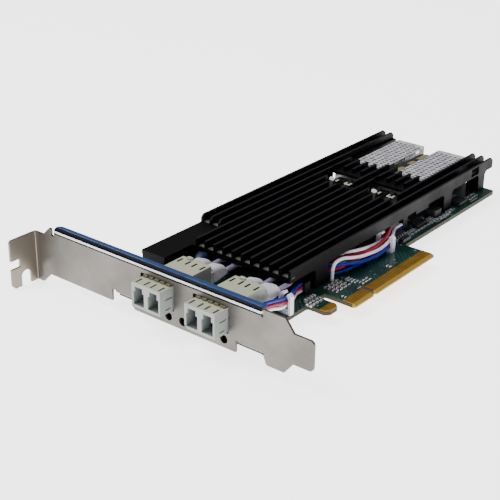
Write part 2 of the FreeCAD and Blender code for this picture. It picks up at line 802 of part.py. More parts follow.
def make_adapter_clips():
    """Sprung saddles that hold the adapters in the bracket's openings."""
    for number, middle in enumerate(adapters, 1):
        inner = adapter_width / 2 + clip_gap
        outer = inner + clip_strip
        skirt = adapter_low + adapter_chamfer + 0.5
        top = adapter_top + clip_gap
        start = back_x + 0.05
        saddle = prism("x", [
            (middle - outer, skirt), (middle - outer, top + clip_strip, 0.3),
            (middle + outer, top + clip_strip, 0.3), (middle + outer, skirt),
            (middle + inner, skirt), (middle + inner, top),
            (middle - inner, top), (middle - inner, skirt)], start, start + clip_depth)
        fingers = []
        for step in (-2, -1, 0, 1, 2):
            place = middle + step * adapter_width / 5
            finger = [(start, top), (start, top + clip_strip), (face_x + 0.3, cutout_top - 0.1),
                      (face_x - 0.4, cutout_top - 0.1, 0.2), (face_x - 0.9, top),
                      (face_x - 0.6, top), (face_x - 0.25, cutout_top - 0.1 - clip_strip),
                      (face_x + 0.3, cutout_top - 0.1 - clip_strip)]
            fingers.append(prism("y", finger, place - 0.85, place + 0.85))
        save("adapter_clip_" + str(number), joined([saddle] + fingers))


def make_inner_plugs():
    """Plugs of the internal fibres, pushed into the adapters from behind."""
    for number, port in enumerate(ports, 1):
        low = port_axis - plug_side / 2
        high = port_axis + plug_side / 2
        tip, back = along(plug_tip), along(plug_back)
        body = prism("y", [(tip, low), (back, low), (back, high), (tip, high)],
                     port - plug_side / 2, port + plug_side / 2)
        latch = prism("y", [
            (tip + 2, high), (back - 1.2, high + 1.6, 0.3), (back - 0.4, high + 1.6, 0.3),
            (back - 0.4, high + 0.9), (tip + 3.4, high)], port - 1.1, port + 1.1)
        stub = rod("x", (port, port_axis), 1.2, back, along(plug_back + 2))
        body = joined([body, latch, stub])
        body = body.cut(rod("x", (port, port_axis), boss_radius + 0.1, tip - 1, tip + 1.3))
        ferrule_tip = along((adapter_in - adapter_out) / 2 + 0.2)
        ferrule = rod("x", (port, port_axis), 0.6, ferrule_tip, tip + 1.3)
        save("inner_plug_" + str(number), joined([body, ferrule]))


def boot_section(x, port, width, height, middle):
    """Rounded rectangular section of a boot."""
    radius = min(width, height) * 0.35
    return outline("x", x, rectangle(around(port, width), around(middle, height), radius))


def make_inner_boots():
    """Moulded boots over the plugs' ends, tapering to the fibre jackets."""
    for number, port in enumerate(ports, 1):
        sections = [
            (plug_back + boot_gap, 4.9, 6.0, port_axis + 0.5),
            (plug_back + 3.5, 4.8, 5.8, port_axis + 0.4),
            (plug_back + 6.5, 3.7, 4.2, port_axis - 0.2),
            (boot_back, 2.2, 2.4, port_axis - boot_droop)]
        hull = Part.makeLoft([boot_section(along(x), port, width, height, middle)
                              for x, width, height, middle in sections], True, True)
        hull = hull.cut(rod("x", (port, port_axis), 1.25, along(plug_back), along(plug_back + 2.05)))
        save("inner_boot_" + str(number), hull)


def make_fibre_leads():
    """Jacketed fibres from the boots to the switches, and on to the modules' plugs."""
    height = port_axis - boot_droop
    for number, (port, target) in enumerate(zip(ports, switch_ports), 1):
        start = along(boot_back)
        end = along(switch_start - ferrule_length + ferrule_hold)
        run = (end - start) / 4
        shift = target - port
        points = [
            (start, port, height), (start + 0.9 * run, port, height),
            (start + 1.9 * run, port + 0.45 * shift, switch_port_height + 1.0),
            (start + 3.0 * run, target, switch_port_height), (end, target, switch_port_height)]
        cord("fibre_lead_" + str(number), points, 2 * fibre_radius)


def make_module_leads():
    """Fibres from the switches up to the modules' plugs."""
    for number, (origin, port) in enumerate(zip(switch_ports, module_ports), 1):
        start = along(switch_start + switch_length + ferrule_length - ferrule_hold)
        end = along(module_plug_front - module_boot_length)
        run = (end - start) / 4
        target = port - module_boot_lean * module_boot_length
        shift = target - origin
        rise = module_port_height - switch_port_height
        points = [
            (start, origin, switch_port_height), (start + 0.9 * run, origin, switch_port_height),
            (start + 1.9 * run, origin + 0.45 * shift, switch_port_height + 0.4 * rise),
            (start + 3.0 * run, target, module_port_height), (end, target, module_port_height)]
        cord("module_lead_" + str(number), points, 2 * fibre_radius)


# ---------------------------------------------------------------- optical modules
def make_optical_modules():
    """Soldered transceivers: nose with two ports, body, and a pin row under it."""
    for number, middle in enumerate(module_places, 1):
        front, back = along(module_front), along(module_back)
        nose = block((front, along(bay_front)), around(middle, module_width - 0.4),
                     (0.6, nose_height))
        body = prism("z", rectangle((along(bay_front), back - 0.3),
                                    around(middle, module_width - 0.8)), 0.3,
                     module_height - 0.35)
        pieces = [nose, body]
        for place in module_pins(middle):
            pieces.append(rod("z", place, module_pin_radius, -board_thick - 0.8, 0.5))
        body = joined(pieces)
        for side in (-1, 1):
            port = middle + side * module_port_pitch / 2
            half = port_width / 2
            body = body.cut(block((front - 1, front + 7), (port - half, port + half),
                                  (module_port_height - half, module_port_height + half)))
        save("optical_module_" + str(number), body)


def make_module_cages():
    """Folded shields over the modules, perforated on top."""
    for number, middle in enumerate(module_places, 1):
        front, back = along(bay_front + 0.2), along(module_back)
        half = module_width / 2
        outer = [(front, middle - half), (back, middle - half, 1.5),
                 (back, middle + half, 0.8), (front, middle + half)]
        body = prism("z", outer, 0, module_height)
        cuts = [block((front - 1, back - cage_sheet),
                      around(middle, module_width - 2 * cage_sheet),
                      (-1, module_height - cage_sheet))]
        columns = int((back - front - 2 * cage_margin) / cage_hole_pitch) + 1
        for column in range(columns):
            for row in range(cage_hole_rows):
                place = (front + cage_margin + column * cage_hole_pitch,
                         middle + (row - (cage_hole_rows - 1) / 2) * cage_hole_pitch)
                cuts.append(rod("z", place, cage_hole_radius, module_height - 1,
                                module_height + 1))
        save("module_cage_" + str(number), body.cut(cuts))


def make_module_plugs():
    """Duplex plugs in the modules' ports, with their latches and angled boots."""
    for number, middle in enumerate(module_places, 1):
        pieces = []
        x = (along(module_plug_front), along(module_front + 5))
        for side in (-1, 1):
            port = middle + side * module_port_pitch / 2
            half = plug_side / 2
            pieces.append(block(x, (port - half, port + half),
                                (module_port_height - half, module_port_height + half)))
            top = module_port_height + half
            latch = [(x[0] + 5.6, top), (x[0] + 3.0, nose_height - 0.4, 0.3),
                     (x[0] + 0.8, nose_height - 0.4, 0.3), (x[0] + 0.8, top)]
            lever = prism("y", latch, port - 1.4, port + 1.4)
            grip = block((x[0] + 1.5, x[0] + 6), around(port, 1.3), (top + 0.3, nose_height))
            pieces.append(lever.cut(grip))
            pieces.append(rod("x", (port, module_port_height), 1.2, x[0] - 2, x[0]))
        tie = block((x[0] + 2, x[0] + 6), (middle - module_port_pitch / 2,
                                           middle + module_port_pitch / 2),
                    (module_port_height - 1.2, module_port_height + 1.2))
        body = joined(pieces + [tie])
        save("module_plug_" + str(number), body)


def make_module_boots():
    """Boots behind the modules' plugs, leaning sideways as the pockets above them do."""
    boots = []
    for index, port in enumerate(module_ports):
        low = module_port_height - 2.0
        tall = module_boot_tops[index % 2] - low
        sections = []
        for reach, width, height, middle in (
                (module_boot_length, 2.2, 2.2, module_port_height),
                (3.2, 0.95 * module_boot_width, 0.8 * tall, low + 0.45 * tall),
                (boot_gap, module_boot_width, tall, low + tall / 2)):
            sections.append(boot_section(along(module_plug_front - reach),
                                         port - module_boot_lean * reach,
                                         width, height, middle))
        hull = Part.makeLoft(sections, True, True)
        bore = rod("x", (port, module_port_height), 1.25, along(module_plug_front - 2.05),
                   along(module_plug_front))
        boots.append(hull.cut(bore))
    save("module_boots", Part.Compound(boots))


# ---------------------------------------------------------------- wires and clips
def wire_clip(middle_x, right, left, right_height, left_height):
    """Nylon clip: a base with two arms that curl over the wires, and a peg below."""
    x = around(along(middle_x), clip_width)
    profile = [
        (right, 0), (left, 0), (left, left_height - 1.2),
        (left - 1.9, left_height, 0.3), (left - 2.5, left_height - 0.8, 0.3),
        (left - clip_arm, left_height - 1.9), (left - clip_arm, clip_floor, 0.5),
        (right + clip_arm, clip_floor, 0.5), (right + clip_arm, right_height - 1.6),
        (right + 1.7, right_height - 0.7, 0.3), (right + 1.2, right_height, 0.3),
        (right, right_height - 0.9)]
    peg = rod("z", clip_peg(middle_x, right, left), clip_peg_radius, -board_thick - 0.9, 0.2)
    return joined([prism("x", profile, x[0], x[1]), peg])


def make_wire_clips():
    for number, sizes in enumerate(clip_places, 1):
        save("wire_clip_" + str(number), wire_clip(*sizes))


def run_wires(routes):
    """Wires from their route points: x from the bracket's outer face, y and z."""
    for name, points in routes.items():
        diameter = thin_wire_diameter if name == "wire_grey_1" else wire_diameter
        cord(name, [(along(x), y, z) for x, y, z in points], diameter)


def make_front_bundle():
    """Three control wires that rise behind the flange and dip through the first clip."""
    run_wires({
        "wire_blue_1": [(7.6, 12.3, 1.6), (7.6, 12.3, 10.9), (15.5, 12.1, 9.9), (21.8, 13.0, 7.8),
                        (28.3, 14.4, 5.6), (34.5, 16.4, 4.7), (38.9, 18.6, 3.9),
                        (42.0, 18.6, 3.9)],
        "wire_red_1": [(9.1, 12.3, 1.6), (9.1, 12.3, 9.4), (16.3, 12.1, 8.4), (22.9, 13.0, 6.1),
                       (28.3, 14.3, 4.3), (34.5, 16.3, 3.4), (38.9, 18.6, 2.6),
                       (42.0, 18.6, 2.6)],
        "wire_white_1": [(10.6, 12.3, 1.6), (10.6, 12.3, 7.9), (17.0, 12.1, 7.0),
                         (23.0, 13.0, 4.4), (28.3, 14.3, 3.0), (34.5, 16.3, 2.1),
                         (38.9, 18.6, 1.3), (42.0, 18.6, 1.3)]})


def make_second_bundle():
    """Six wires and a thin sense wire that bow out past the sink and through a clip."""
    run_wires({
        "wire_blue_2": [(58.2, 21.6, 4.2), (58.2, 18.4, 4.2), (61.2, 16.0, 4.7), (65.5, 14.3, 4.1),
                        (72.3, 13.7, 2.5), (81.5, 13.2, 1.7), (90.0, 14.1, 2.3),
                        (97.0, 17.0, 1.7), (103.0, 20.4, 1.3), (108.0, 20.4, 1.3)],
        "wire_red_2": [(58.2, 21.6, 2.9), (58.2, 18.1, 2.9), (62.5, 16.1, 3.4), (66.5, 15.8, 4.0),
                       (73.0, 15.5, 3.0), (82.0, 15.4, 2.5), (90.0, 15.3, 2.4),
                       (97.0, 18.4, 1.9), (103.0, 21.8, 1.3), (108.0, 21.8, 1.3)],
        "wire_blue_3": [(58.2, 21.6, 1.6), (58.2, 18.0, 1.6), (62.9, 16.0, 1.6), (73.0, 15.0, 1.1),
                        (82.0, 15.3, 0.95), (90.0, 16.4, 1.7), (97.0, 19.8, 1.4),
                        (103.0, 23.2, 1.3), (108.0, 23.2, 1.3)],
        "wire_white_2": [(57.2, 16.5, 0.0), (57.2, 16.5, 6.3), (63.0, 16.6, 6.3),
                         (67.0, 15.3, 5.4), (72.0, 14.7, 4.2), (82.5, 14.2, 2.9),
                         (90.0, 14.4, 3.7), (97.0, 17.2, 3.1), (103.0, 20.4, 2.7),
                         (108.0, 20.4, 2.7)],
        "wire_white_3": [(59.6, 22.3, 5.0), (62.6, 22.3, 5.0), (67.6, 18.4, 6.3),
                         (74.0, 16.5, 5.6), (82.0, 16.8, 4.1), (90.0, 17.0, 3.4),
                         (97.0, 19.2, 3.2), (103.0, 21.8, 2.8), (108.0, 21.8, 2.8)],
        "wire_red_3": [(59.6, 22.3, 3.7), (62.4, 22.3, 3.7), (67.6, 18.0, 4.8), (74.0, 15.9, 4.2),
                       (82.0, 15.3, 3.9), (90.0, 16.0, 4.6), (95.0, 17.8, 5.5),
                       (101.5, 21.8, 5.0), (105.0, 21.8, 4.3), (108.0, 21.8, 4.3)],
        "wire_grey_1": [(59.6, 22.3, 2.2), (62.4, 22.3, 2.2), (68.4, 18.1, 2.5), (75.0, 16.9, 2.5),
                        (82.0, 17.0, 1.9), (90.0, 17.5, 1.8), (97.0, 20.9, 1.9),
                        (103.0, 23.2, 2.7), (108.0, 23.2, 2.7)]})


def make_wire_headers():
    """Crimp housings that the wires end in: ends along x, ends along y and height."""
    places = [
        ((6.7, 11.5), (11.0, 13.8), 1.6), ((42.0, 45.0), (17.0, 20.2), 4.4),
        ((56.9, 59.6), (21.6, 25.6), header_height),
        ((108.0, 111.0), (19.6, 24.2), header_height)]
    for number, (x, y, height) in enumerate(places, 1):
        save("wire_header_" + str(number), block((along(x[0]), along(x[1])), y, (0, height)))


def make_leds():
    """Side-looking lamps on the board behind the bracket's four holes."""
    lamps = []
    lens_front = board_front + 0.2
    base_front = lens_front + led_lens_length
    for place in led_places:
        base = block((base_front, base_front + led_base), around(place, led_width),
                     (0, 2 * led_height - 0.2))
        lens = rod("x", (place, led_height), led_lens_radius, lens_front, base_front + 0.1)
        lamps.append(joined([base, lens]))
    save("leds", Part.Compound(lamps))


def chips_in_grid(start, step, count, size):
    """Rows of small parts: start (x, y), step, count and size as (x, y[, z])."""
    parts = []
    for column in range(count[0]):
        for row in range(count[1]):
            x = along(start[0] + column * step[0])
            y = start[1] + row * step[1]
            parts.append(block((x, x + size[0]), (y, y + size[1]), (0, size[2])))
    return parts


def gull_wing_chip(x, y, pins, height):
    """Flat chip with formed leads on its two x sides."""
    body = block((x[0] + 0.9, x[1] - 0.9), y, (0.15, height))
    leads = []
    pitch = (y[1] - y[0]) / pins
    for index in range(pins):
        lead = around(y[0] + (index + 0.5) * pitch, 0.45 * pitch)
        for start, end, foot in ((x[0], x[0] + 1, x[0] + 0.45), (x[1], x[1] - 1, x[1] - 0.45)):
            mid = height / 2
            profile = [(start, 0), (foot, 0), (foot, mid - 0.1), (end, mid - 0.1),
                       (end, mid + 0.1), (start + (foot - start) * 0.55, mid + 0.1),
                       (start + (foot - start) * 0.55, 0.2), (start, 0.2)]
            leads.append(prism("y", profile, lead[0], lead[1]))
    return joined([body] + leads)


def make_board_parts():
    capacitors = chips_in_grid((50.4, 9.6), (2.3, 1.7), (4, 4), (1.0, 0.5, 0.5))
    capacitors += chips_in_grid((61.4, 6.4), (2.0, 1.4), (3, 2), (1.0, 0.5, 0.5))
    capacitors += chips_in_grid((78.2, 6.3), (0.0, 1.2), (1, 2), (1.0, 0.5, 0.5))
    capacitors += chips_in_grid((38.0, 13.2), (3.0, 0.0), (2, 1), (2.0, 1.25, 1.2))
    capacitors += chips_in_grid((104.0, 26.0), (0.0, 8.0), (1, 4), (2.0, 1.25, 1.2))
    save("capacitors", Part.Compound(capacitors))
    resistors = chips_in_grid((105.6, 14.9), (2.3, 0.0), (15, 1), (1.6, 0.8, 0.45))
    resistors += chips_in_grid((151.5, 15.0), (2.6, 1.8), (3, 2), (1.6, 0.8, 0.45))
    resistors += chips_in_grid((21.0, 30.0), (2.4, 4.0), (4, 3), (1.0, 0.5, 0.35))
    save("resistors", Part.Compound(resistors))
    coils = []
    for x, y in ((22.0, 62.0), (30.0, 62.0), (127.0, 16.6)):
        coil = prism("z", rectangle((along(x), along(x + 5.0)), (y, y + 5.0), 0.8), 0, 2.8)
        coils.append(coil)
    save("inductors", Part.Compound(coils))
    chips = [
        gull_wing_chip((along(112.4), along(121.0)), (16.4, 18.7), 2, 1.5),
        gull_wing_chip((along(97.6), along(104.5)), (13.4, 15.5), 2, 1.5),
        gull_wing_chip((along(142.0), along(150.0)), (14.8, 19.8), 4, 1.6),
        gull_wing_chip((along(38.0), along(44.0)), (48.0, 53.0), 4, 1.6)]
    save("small_chips", Part.Compound(chips))


def make_everything():
    os.makedirs("parts", exist_ok=True)
    make_bracket()
    make_flange_film()
    make_circuit_board()
    make_edge_contacts()
    make_heat_sink()
    make_screws()
    make_controller()
    make_bypass_switches()
    make_lc_adapters()
    make_alignment_sleeves()
    make_adapter_clips()
    make_inner_plugs()
    make_inner_boots()
    make_fibre_leads()
    make_module_leads()
    make_optical_modules()
    make_module_cages()
    make_module_plugs()
    make_module_boots()
    make_wire_clips()
    make_front_bundle()
    make_second_bundle()
    make_wire_headers()
    make_leds()
    make_board_parts()


make_everything()
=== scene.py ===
import math
import bpy
import numpy as np
from mathutils import Matrix, Vector


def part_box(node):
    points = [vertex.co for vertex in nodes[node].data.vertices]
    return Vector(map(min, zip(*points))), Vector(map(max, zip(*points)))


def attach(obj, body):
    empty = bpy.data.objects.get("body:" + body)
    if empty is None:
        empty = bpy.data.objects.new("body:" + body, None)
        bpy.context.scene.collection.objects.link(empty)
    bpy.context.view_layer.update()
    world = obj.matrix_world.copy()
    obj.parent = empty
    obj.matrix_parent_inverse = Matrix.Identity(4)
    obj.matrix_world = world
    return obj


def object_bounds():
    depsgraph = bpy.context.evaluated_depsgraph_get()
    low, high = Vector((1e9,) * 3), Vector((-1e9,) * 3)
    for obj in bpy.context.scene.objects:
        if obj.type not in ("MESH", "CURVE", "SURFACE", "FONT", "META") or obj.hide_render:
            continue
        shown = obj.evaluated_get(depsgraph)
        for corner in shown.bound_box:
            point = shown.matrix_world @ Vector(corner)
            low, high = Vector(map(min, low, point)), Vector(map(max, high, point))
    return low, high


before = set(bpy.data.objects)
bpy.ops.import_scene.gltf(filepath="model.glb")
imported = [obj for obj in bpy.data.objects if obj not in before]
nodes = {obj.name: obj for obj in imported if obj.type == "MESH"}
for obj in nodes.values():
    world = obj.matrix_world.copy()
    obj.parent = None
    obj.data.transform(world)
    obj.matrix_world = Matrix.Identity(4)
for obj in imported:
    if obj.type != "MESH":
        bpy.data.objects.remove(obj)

mm = 0.001
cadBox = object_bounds()
keyFromBracket = 59.4  # mm from the bracket's outer face back to the origin


def along(distance):
    # x of a place that is given from the bracket's outer face, mm
    return distance - keyFromBracket


def nodeBox(name):
    # the low and high corners of a CAD node's box, mm
    low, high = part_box(name)
    return np.array(low) / mm, np.array(high) / mm


def linear(hexColour):
    # sRGB hex to linear: the low part is a straight line, the rest a power of 2.4
    channels = np.array([int(hexColour[i:i + 2], 16) for i in (1, 3, 5)]) / 255
    curve = ((channels + 0.055) / 1.055) ** 2.4
    return (*np.where(channels > 0.04045, curve, channels / 12.92), 1.0)


camera = {
    "place": (-290.08, -175.99, 174.58),  # mm
    "ahead": (0.707619, 0.562262, -0.427945),
    "right": (0.626341, -0.779464, 0.011561),
    "lens": 80.87, "sensor": 36.0,
    "clip": (0.01, 20.0),  # m
}


def makeCamera():
    lens = bpy.data.cameras.new("camera")
    lens.lens = camera["lens"]
    lens.sensor_width = camera["sensor"]
    lens.clip_start, lens.clip_end = camera["clip"]
    holder = bpy.data.objects.new("camera", lens)
    bpy.context.scene.collection.objects.link(holder)
    ahead = Vector(camera["ahead"]).normalized()
    right = Vector(camera["right"]).normalized()
    turn = Matrix((right, right.cross(ahead), -ahead)).transposed()
    holder.matrix_world = Matrix.Translation(Vector(camera["place"]) * mm) @ turn.to_4x4()
    bpy.context.scene.camera = holder
    print("camera ready")


makeCamera()

studio = {
    "floorReach": 3.0,  # m each way
    "floorDrop": 0.05,  # mm below the part
    "floorColour": "#FFFFFF",
    "floorRoughness": 0.9,
    "floorGlow": 2.7,
    "skyColour": "#F4F6FA",
    "skyStrength": 0.24,
    "lamps": {
        # place (m), width (m), power (W), colour
        "keyLamp": ((-0.30, 0.45, 0.85), 0.50, 6.5, "#FFFDF8"),
        "fillLamp": ((-0.75, -0.60, 0.35), 0.70, 1.0, "#F4F7FF"),
        "topLamp": ((0.15, 0.05, 0.95), 0.60, 4.0, "#FFFFFF"),
    },
}


def makeStudio():
    world = bpy.data.worlds.new("paleRoom")
    world.use_nodes = True
    background = world.node_tree.nodes["Background"]
    background.inputs["Color"].default_value = linear(studio["skyColour"])
    background.inputs["Strength"].default_value = studio["skyStrength"]
    bpy.context.scene.world = world
    aim = (cadBox[0] + cadBox[1]) / 2
    for name, (place, width, power, colour) in studio["lamps"].items():
        lamp = bpy.data.lights.new(name, "AREA")
        lamp.size = width
        lamp.energy = power
        lamp.color = linear(colour)[:3]
        holder = bpy.data.objects.new(name, lamp)
        holder.location = place
        holder.rotation_euler = (aim - Vector(place)).to_track_quat("-Z", "Y").to_euler()
        bpy.context.scene.collection.objects.link(holder)
    reach, level = studio["floorReach"], cadBox[0].z - studio["floorDrop"] * mm
    floorMesh = bpy.data.meshes.new("floor")
    corners = [(x * reach, y * reach, level) for x, y in ((-1, -1), (1, -1), (1, 1), (-1, 1))]
    floorMesh.from_pydata(corners, [], [(0, 1, 2, 3)])
    floor = bpy.data.objects.new("floor", floorMesh)
    bpy.context.scene.collection.objects.link(floor)
    # matt white paper, lit so that its shadows stay pale
    paper = bpy.data.materials.new("whitePaperSweep")
    paper.use_nodes = True
    sheet = paper.node_tree.nodes["Principled BSDF"].inputs
    sheet["Base Color"].default_value = linear(studio["floorColour"])
    sheet["Roughness"].default_value = studio["floorRoughness"]
    sheet["Emission Color"].default_value = linear(studio["floorColour"])
    sheet["Emission Strength"].default_value = studio["floorGlow"]
    floorMesh.materials.append(paper)
    print("studio ready")


makeStudio()


def setSockets(tree, sockets, values):
    # each value is a number, a hex colour, or another node's socket, which is linked
    for socket, value in values.items():
        if isinstance(value, bpy.types.NodeSocket):
            tree.links.new(value, sockets[socket])
        else:
            sockets[socket].default_value = linear(value) if isinstance(value, str) else value


def addNode(tree, kind, values, output=0, **settings):
    # a node of any kind with its settings and links; gives back the output that is asked for
    node = tree.nodes.new("ShaderNode" + kind)
    for name, setting in settings.items():
        setattr(node, name, setting)
    setSockets(tree, node.inputs, values)
    return node.outputs[output]


def startFinish(name):
    # the material, its tree, its shader's sockets, and each point's place on the part
    material = bpy.data.materials.new(name)
    material.use_nodes = True
    tree = material.node_tree
    place = addNode(tree, "TexCoord", {}, "Object")
    return material, tree, tree.nodes["Principled BSDF"].inputs, place


def grain(tree, place, size, detail=2.0, stretch=(1.0, 1.0, 1.0)):
    # Perlin noise whose cells are `size` mm across, drawn out where stretch is under 1 and
    # squeezed where it is over
    placed = addNode(tree, "Mapping", {"Vector": place, "Scale": stretch})
    return addNode(tree, "TexNoise", {"Vector": placed, "Scale": 1 / (size * mm), "Detail": detail})


def joinMasks(tree, masks, operation):
    # MULTIPLY keeps what lies in all the masks, MAXIMUM what lies in any
    whole = masks[0]
    for part in masks[1:]:
        whole = addNode(tree, "Math", {0: whole, 1: part}, operation=operation)
    return whole


def insideBox(tree, place, low, high):
    # 1 inside the box from low to high (mm), 0 outside; None leaves that axis open
    sides = []
    for axis, first, last in zip("XYZ", low, high):
        if first is not None:
            distance = addNode(tree, "SeparateXYZ", {"Vector": place}, axis)
            sides.append(addNode(
                tree, "Math", {0: distance, 1: (first + last) / 2 * mm, 2: (last - first) / 2 * mm},
                operation="COMPARE"))
    return joinMasks(tree, sides, "MULTIPLY")


def layTones(tree, ground, layers):
    # the ground tone with each (mask, tone) laid over what came before it: in a colour mix,
    # socket 0 is the share, 6 and 7 the two colours, and output 2 the result
    for cover, tone in layers:
        ground = addNode(tree, "Mix", {0: cover, 6: ground, 7: tone}, 2, data_type="RGBA")
    return ground


noiseSpan = {"From Min": 0.35, "From Max": 0.65}  # between these lies most of the noise
fineDetail = 3.0  # octaves of a surface's grain


def setSurface(tree, shader, colour, patches, roughness, height, depth, others=None):
    # the shader's colour, a roughness that follows the patches, and a relief `depth` mm high
    setSockets(tree, shader, {
        "Base Color": colour,
        "Roughness": addNode(tree, "MapRange", {
            **noiseSpan, "Value": patches, "To Min": roughness[0], "To Max": roughness[1]}),
        "Normal": addNode(tree, "Bump", {"Height": height, "Distance": depth * mm}),
        **(others or {}),
    })


# slot: material's name, two tones, roughness from and to, metallic, size of the patches of
# tone (mm), size and depth of the surface grain (mm), the shader's other sockets. Moulded and
# rolled grain is really some hundredths of a mm: it is drawn 0.1 mm and up, so that it shows.
finishes = {
    # thin PET film with a shiny face: an even strong blue under a clear gloss
    "blue_film": ("bluePetFilm", ("#183A70", "#1F437C"), (0.24, 0.36), 0.0, 6.0, (1.2, 0.010),
                  {"Coat Weight": 0.4}),
    # gold laid over nickel by immersion: soft yellow sheen, faintly scratched
    "gold_plate": ("immersionGold", ("#CF9E38", "#B58628"), (0.30, 0.46), 0.9, 3.0, (0.15, 0.004), {}),
    # zinc-plated steel, tumbled: cool grey with soft lights
    "screw_steel": ("zincPlatedScrewSteel", ("#B5B5B8", "#9C9CA2"), (0.25, 0.40), 1.0, 2.0,
                    (0.10, 0.004), {}),
    # hardened strip, blued and oiled: olive brown, a dull gleam on its bends
    "spring_steel": ("temperedSpringSteel", ("#7C7862", "#69644C"), (0.34, 0.48), 0.6, 3.0,
                     (0.10, 0.004), {}),
    # ground zirconia: milk white, smooth and glossy
    "white_ceramic": ("zirconiaSleeve", ("#F1EFEA", "#E6E4DE"), (0.18, 0.25), 0.0, 2.0,
                      (0.20, 0.002), {}),
    # extruded PVC jacket: lilac grey and half matt
    "fibre_jacket": ("greyFibreJacket", ("#8F8AA2", "#7C788F"), (0.45, 0.55), 0.0, 3.0,
                     (0.20, 0.004), {}),
    # cast epoxy case: black with a weak shine, finely pitted
    "switch_case": ("blackEpoxyCase", ("#121214", "#1A1A1D"), (0.40, 0.52), 0.0, 5.0,
                    (0.15, 0.006), {}),
    # die-cast zinc: light grey, clouded where the metal flowed
    "module_metal": ("diecastZincModule", ("#A8A8B2", "#8E8E98"), (0.34, 0.48), 0.4, 4.0,
                     (0.20, 0.010), {}),
    # transfer-moulded epoxy: charcoal and matt
    "chip_plastic": ("blackMouldCompound", ("#131315", "#1B1B1E"), (0.50, 0.62), 0.0, 4.0,
                     (0.12, 0.006), {}),
    # filled silicone sheet: putty grey with no shine
    "thermal_rubber": ("greyThermalPad", ("#8E9096", "#7C7E85"), (0.62, 0.75), 0.0, 3.0,
                       (0.30, 0.012), {}),
    # moulded nylon: cold white and waxy
    "nylon": ("whiteNylonClip", ("#F6F7FF", "#E6E8F6"), (0.36, 0.50), 0.0, 4.0, (0.20, 0.006), {}),
    # extruded PVC insulation: strong even colours with a soft line of light along the wire
    "wire_blue": ("bluePvcWire", ("#051C88", "#082296"), (0.40, 0.52), 0.0, 3.0, (0.15, 0.004),
                  {"Specular IOR Level": 0.25}),
    "wire_red": ("redPvcWire", ("#A80C30", "#940A2A"), (0.40, 0.52), 0.0, 3.0, (0.15, 0.004),
                 {"Specular IOR Level": 0.25}),
    "wire_white": ("whitePvcWire", ("#FBFAFF", "#EDECF8"), (0.32, 0.44), 0.0, 3.0, (0.15, 0.004), {}),
    "wire_grey": ("greyPvcWire", ("#8A8C98", "#787A88"), (0.36, 0.48), 0.0, 3.0, (0.15, 0.004), {}),
    # glass-filled nylon, moulded: deep black, half matt
    "header_plastic": ("blackHeaderNylon", ("#0A0A0C", "#101012"), (0.45, 0.58), 0.0, 3.0,
                       (0.16, 0.005), {"Specular IOR Level": 0.3}),
    # cast smoked epoxy: nearly black until it is lit
    "led_lens": ("smokedLampEpoxy", ("#101411", "#1A201B"), (0.55, 0.65), 0.0, 1.5, (0.20, 0.002),
                 {"Specular IOR Level": 0.12}),
    # sintered ceramic: tan to brown, a little glossy
    "capacitor_ceramic": ("tanCapacitorCeramic", ("#5E5044", "#8C6640"), (0.40, 0.52), 0.0, 1.0,
                          (0.10, 0.004), {}),
    # fired glass glaze: black with a small sharp light
    "resistor_ceramic": ("blackResistorGlaze", ("#1A1A1D", "#26262A"), (0.30, 0.42), 0.0, 1.0,
                         (0.10, 0.003), {}),
    # pressed ferrite powder: slate grey and dry
    "coil_ferrite": ("greyFerrite", ("#2C2C30", "#222226"), (0.50, 0.62), 0.0, 1.5, (0.12, 0.008), {}),
}

# finishes that only the pieces made here have
pieceFinishes = {
    # solder that flowed and set: bright tin with rounded lights
    "tinned": ("tinnedSolder", ("#F2F2F8", "#C8C8D0"), (0.24, 0.40), 0.55, 0.6, (0.15, 0.010), {}),
    # screen-printed epoxy ink: chalky white
    "ink": ("whiteBoardInk", ("#D9DDE0", "#C4CACE"), (0.55, 0.70), 0.0, 1.0, (0.20, 0.004), {}),
    # extruded PVC sleeve: dark navy with a soft shine
    "navy": ("navyPvcSleeve", ("#0C1C3C", "#102448"), (0.40, 0.52), 0.0, 3.0, (0.15, 0.006), {}),
    # rolled brass strip, tarnished: pale straw to olive
    "brass": ("brassSpringStrip", ("#B0A780", "#8E8458"), (0.30, 0.44), 0.4, 1.5, (0.15, 0.006), {}),
}


def makeFinish(name, tones, roughness, metallic, patch, surface, others):
    material, tree, shader, place = startFinish(name)
    grainSize, depth = surface
    patches = grain(tree, place, patch)
    colour = layTones(tree, tones[0], [(patches, tones[1])])
    fine = grain(tree, place, grainSize, fineDetail)
    setSurface(tree, shader, colour, patches, roughness, fine, depth,
               {"Metallic": metallic, **others})
    return material


solderMask = {
    "green": ("#082420", "#0E302B"), "copper": "#184A40", "via": "#86A89C",
    # the cut edge is olive laminate, darkened further as painted shade
    "cutEdge": ("#2E2C12", "#26240E"), "tongueEdge": "#38290F",
    "bareLaminate": "#4A3A14", "bevel": "#9A7A2C",
    "glossy": 0.28, "cut": 0.75,  # roughness of the mask, and of the cut edge
    "patch": 6.0, "trackPitch": 1.3, "trackZone": 9.0, "viaPitch": 2.6,  # mm
    "weave": 0.5, "relief": 0.03, "rim": 0.05,  # mm
    "weaveStretch": (1.0, 1.0, 4.0),  # squeezed through the board's thickness
    "trackTurn": 45.0, "trackWander": 6.0,  # degrees, and how far the wave is bent
    # the part of each pattern's height over which it fades in
    "trackFade": (0.55, 0.70), "zoneFade": (0.48, 0.56), "viaFade": (0.10, 0.16),
    # round the edge contacts, in mm: between them, along their bevel, and the board's edge there
    "between": ((-22.4, -2.0, None), (39.2, 5.4, None)),
    "bevelBox": ((-26.0, -2.0, None), (40.0, 1.5, None)),
    "tongueBox": ((-26.0, -2.0, None), (40.0, 9.5, None)),
}


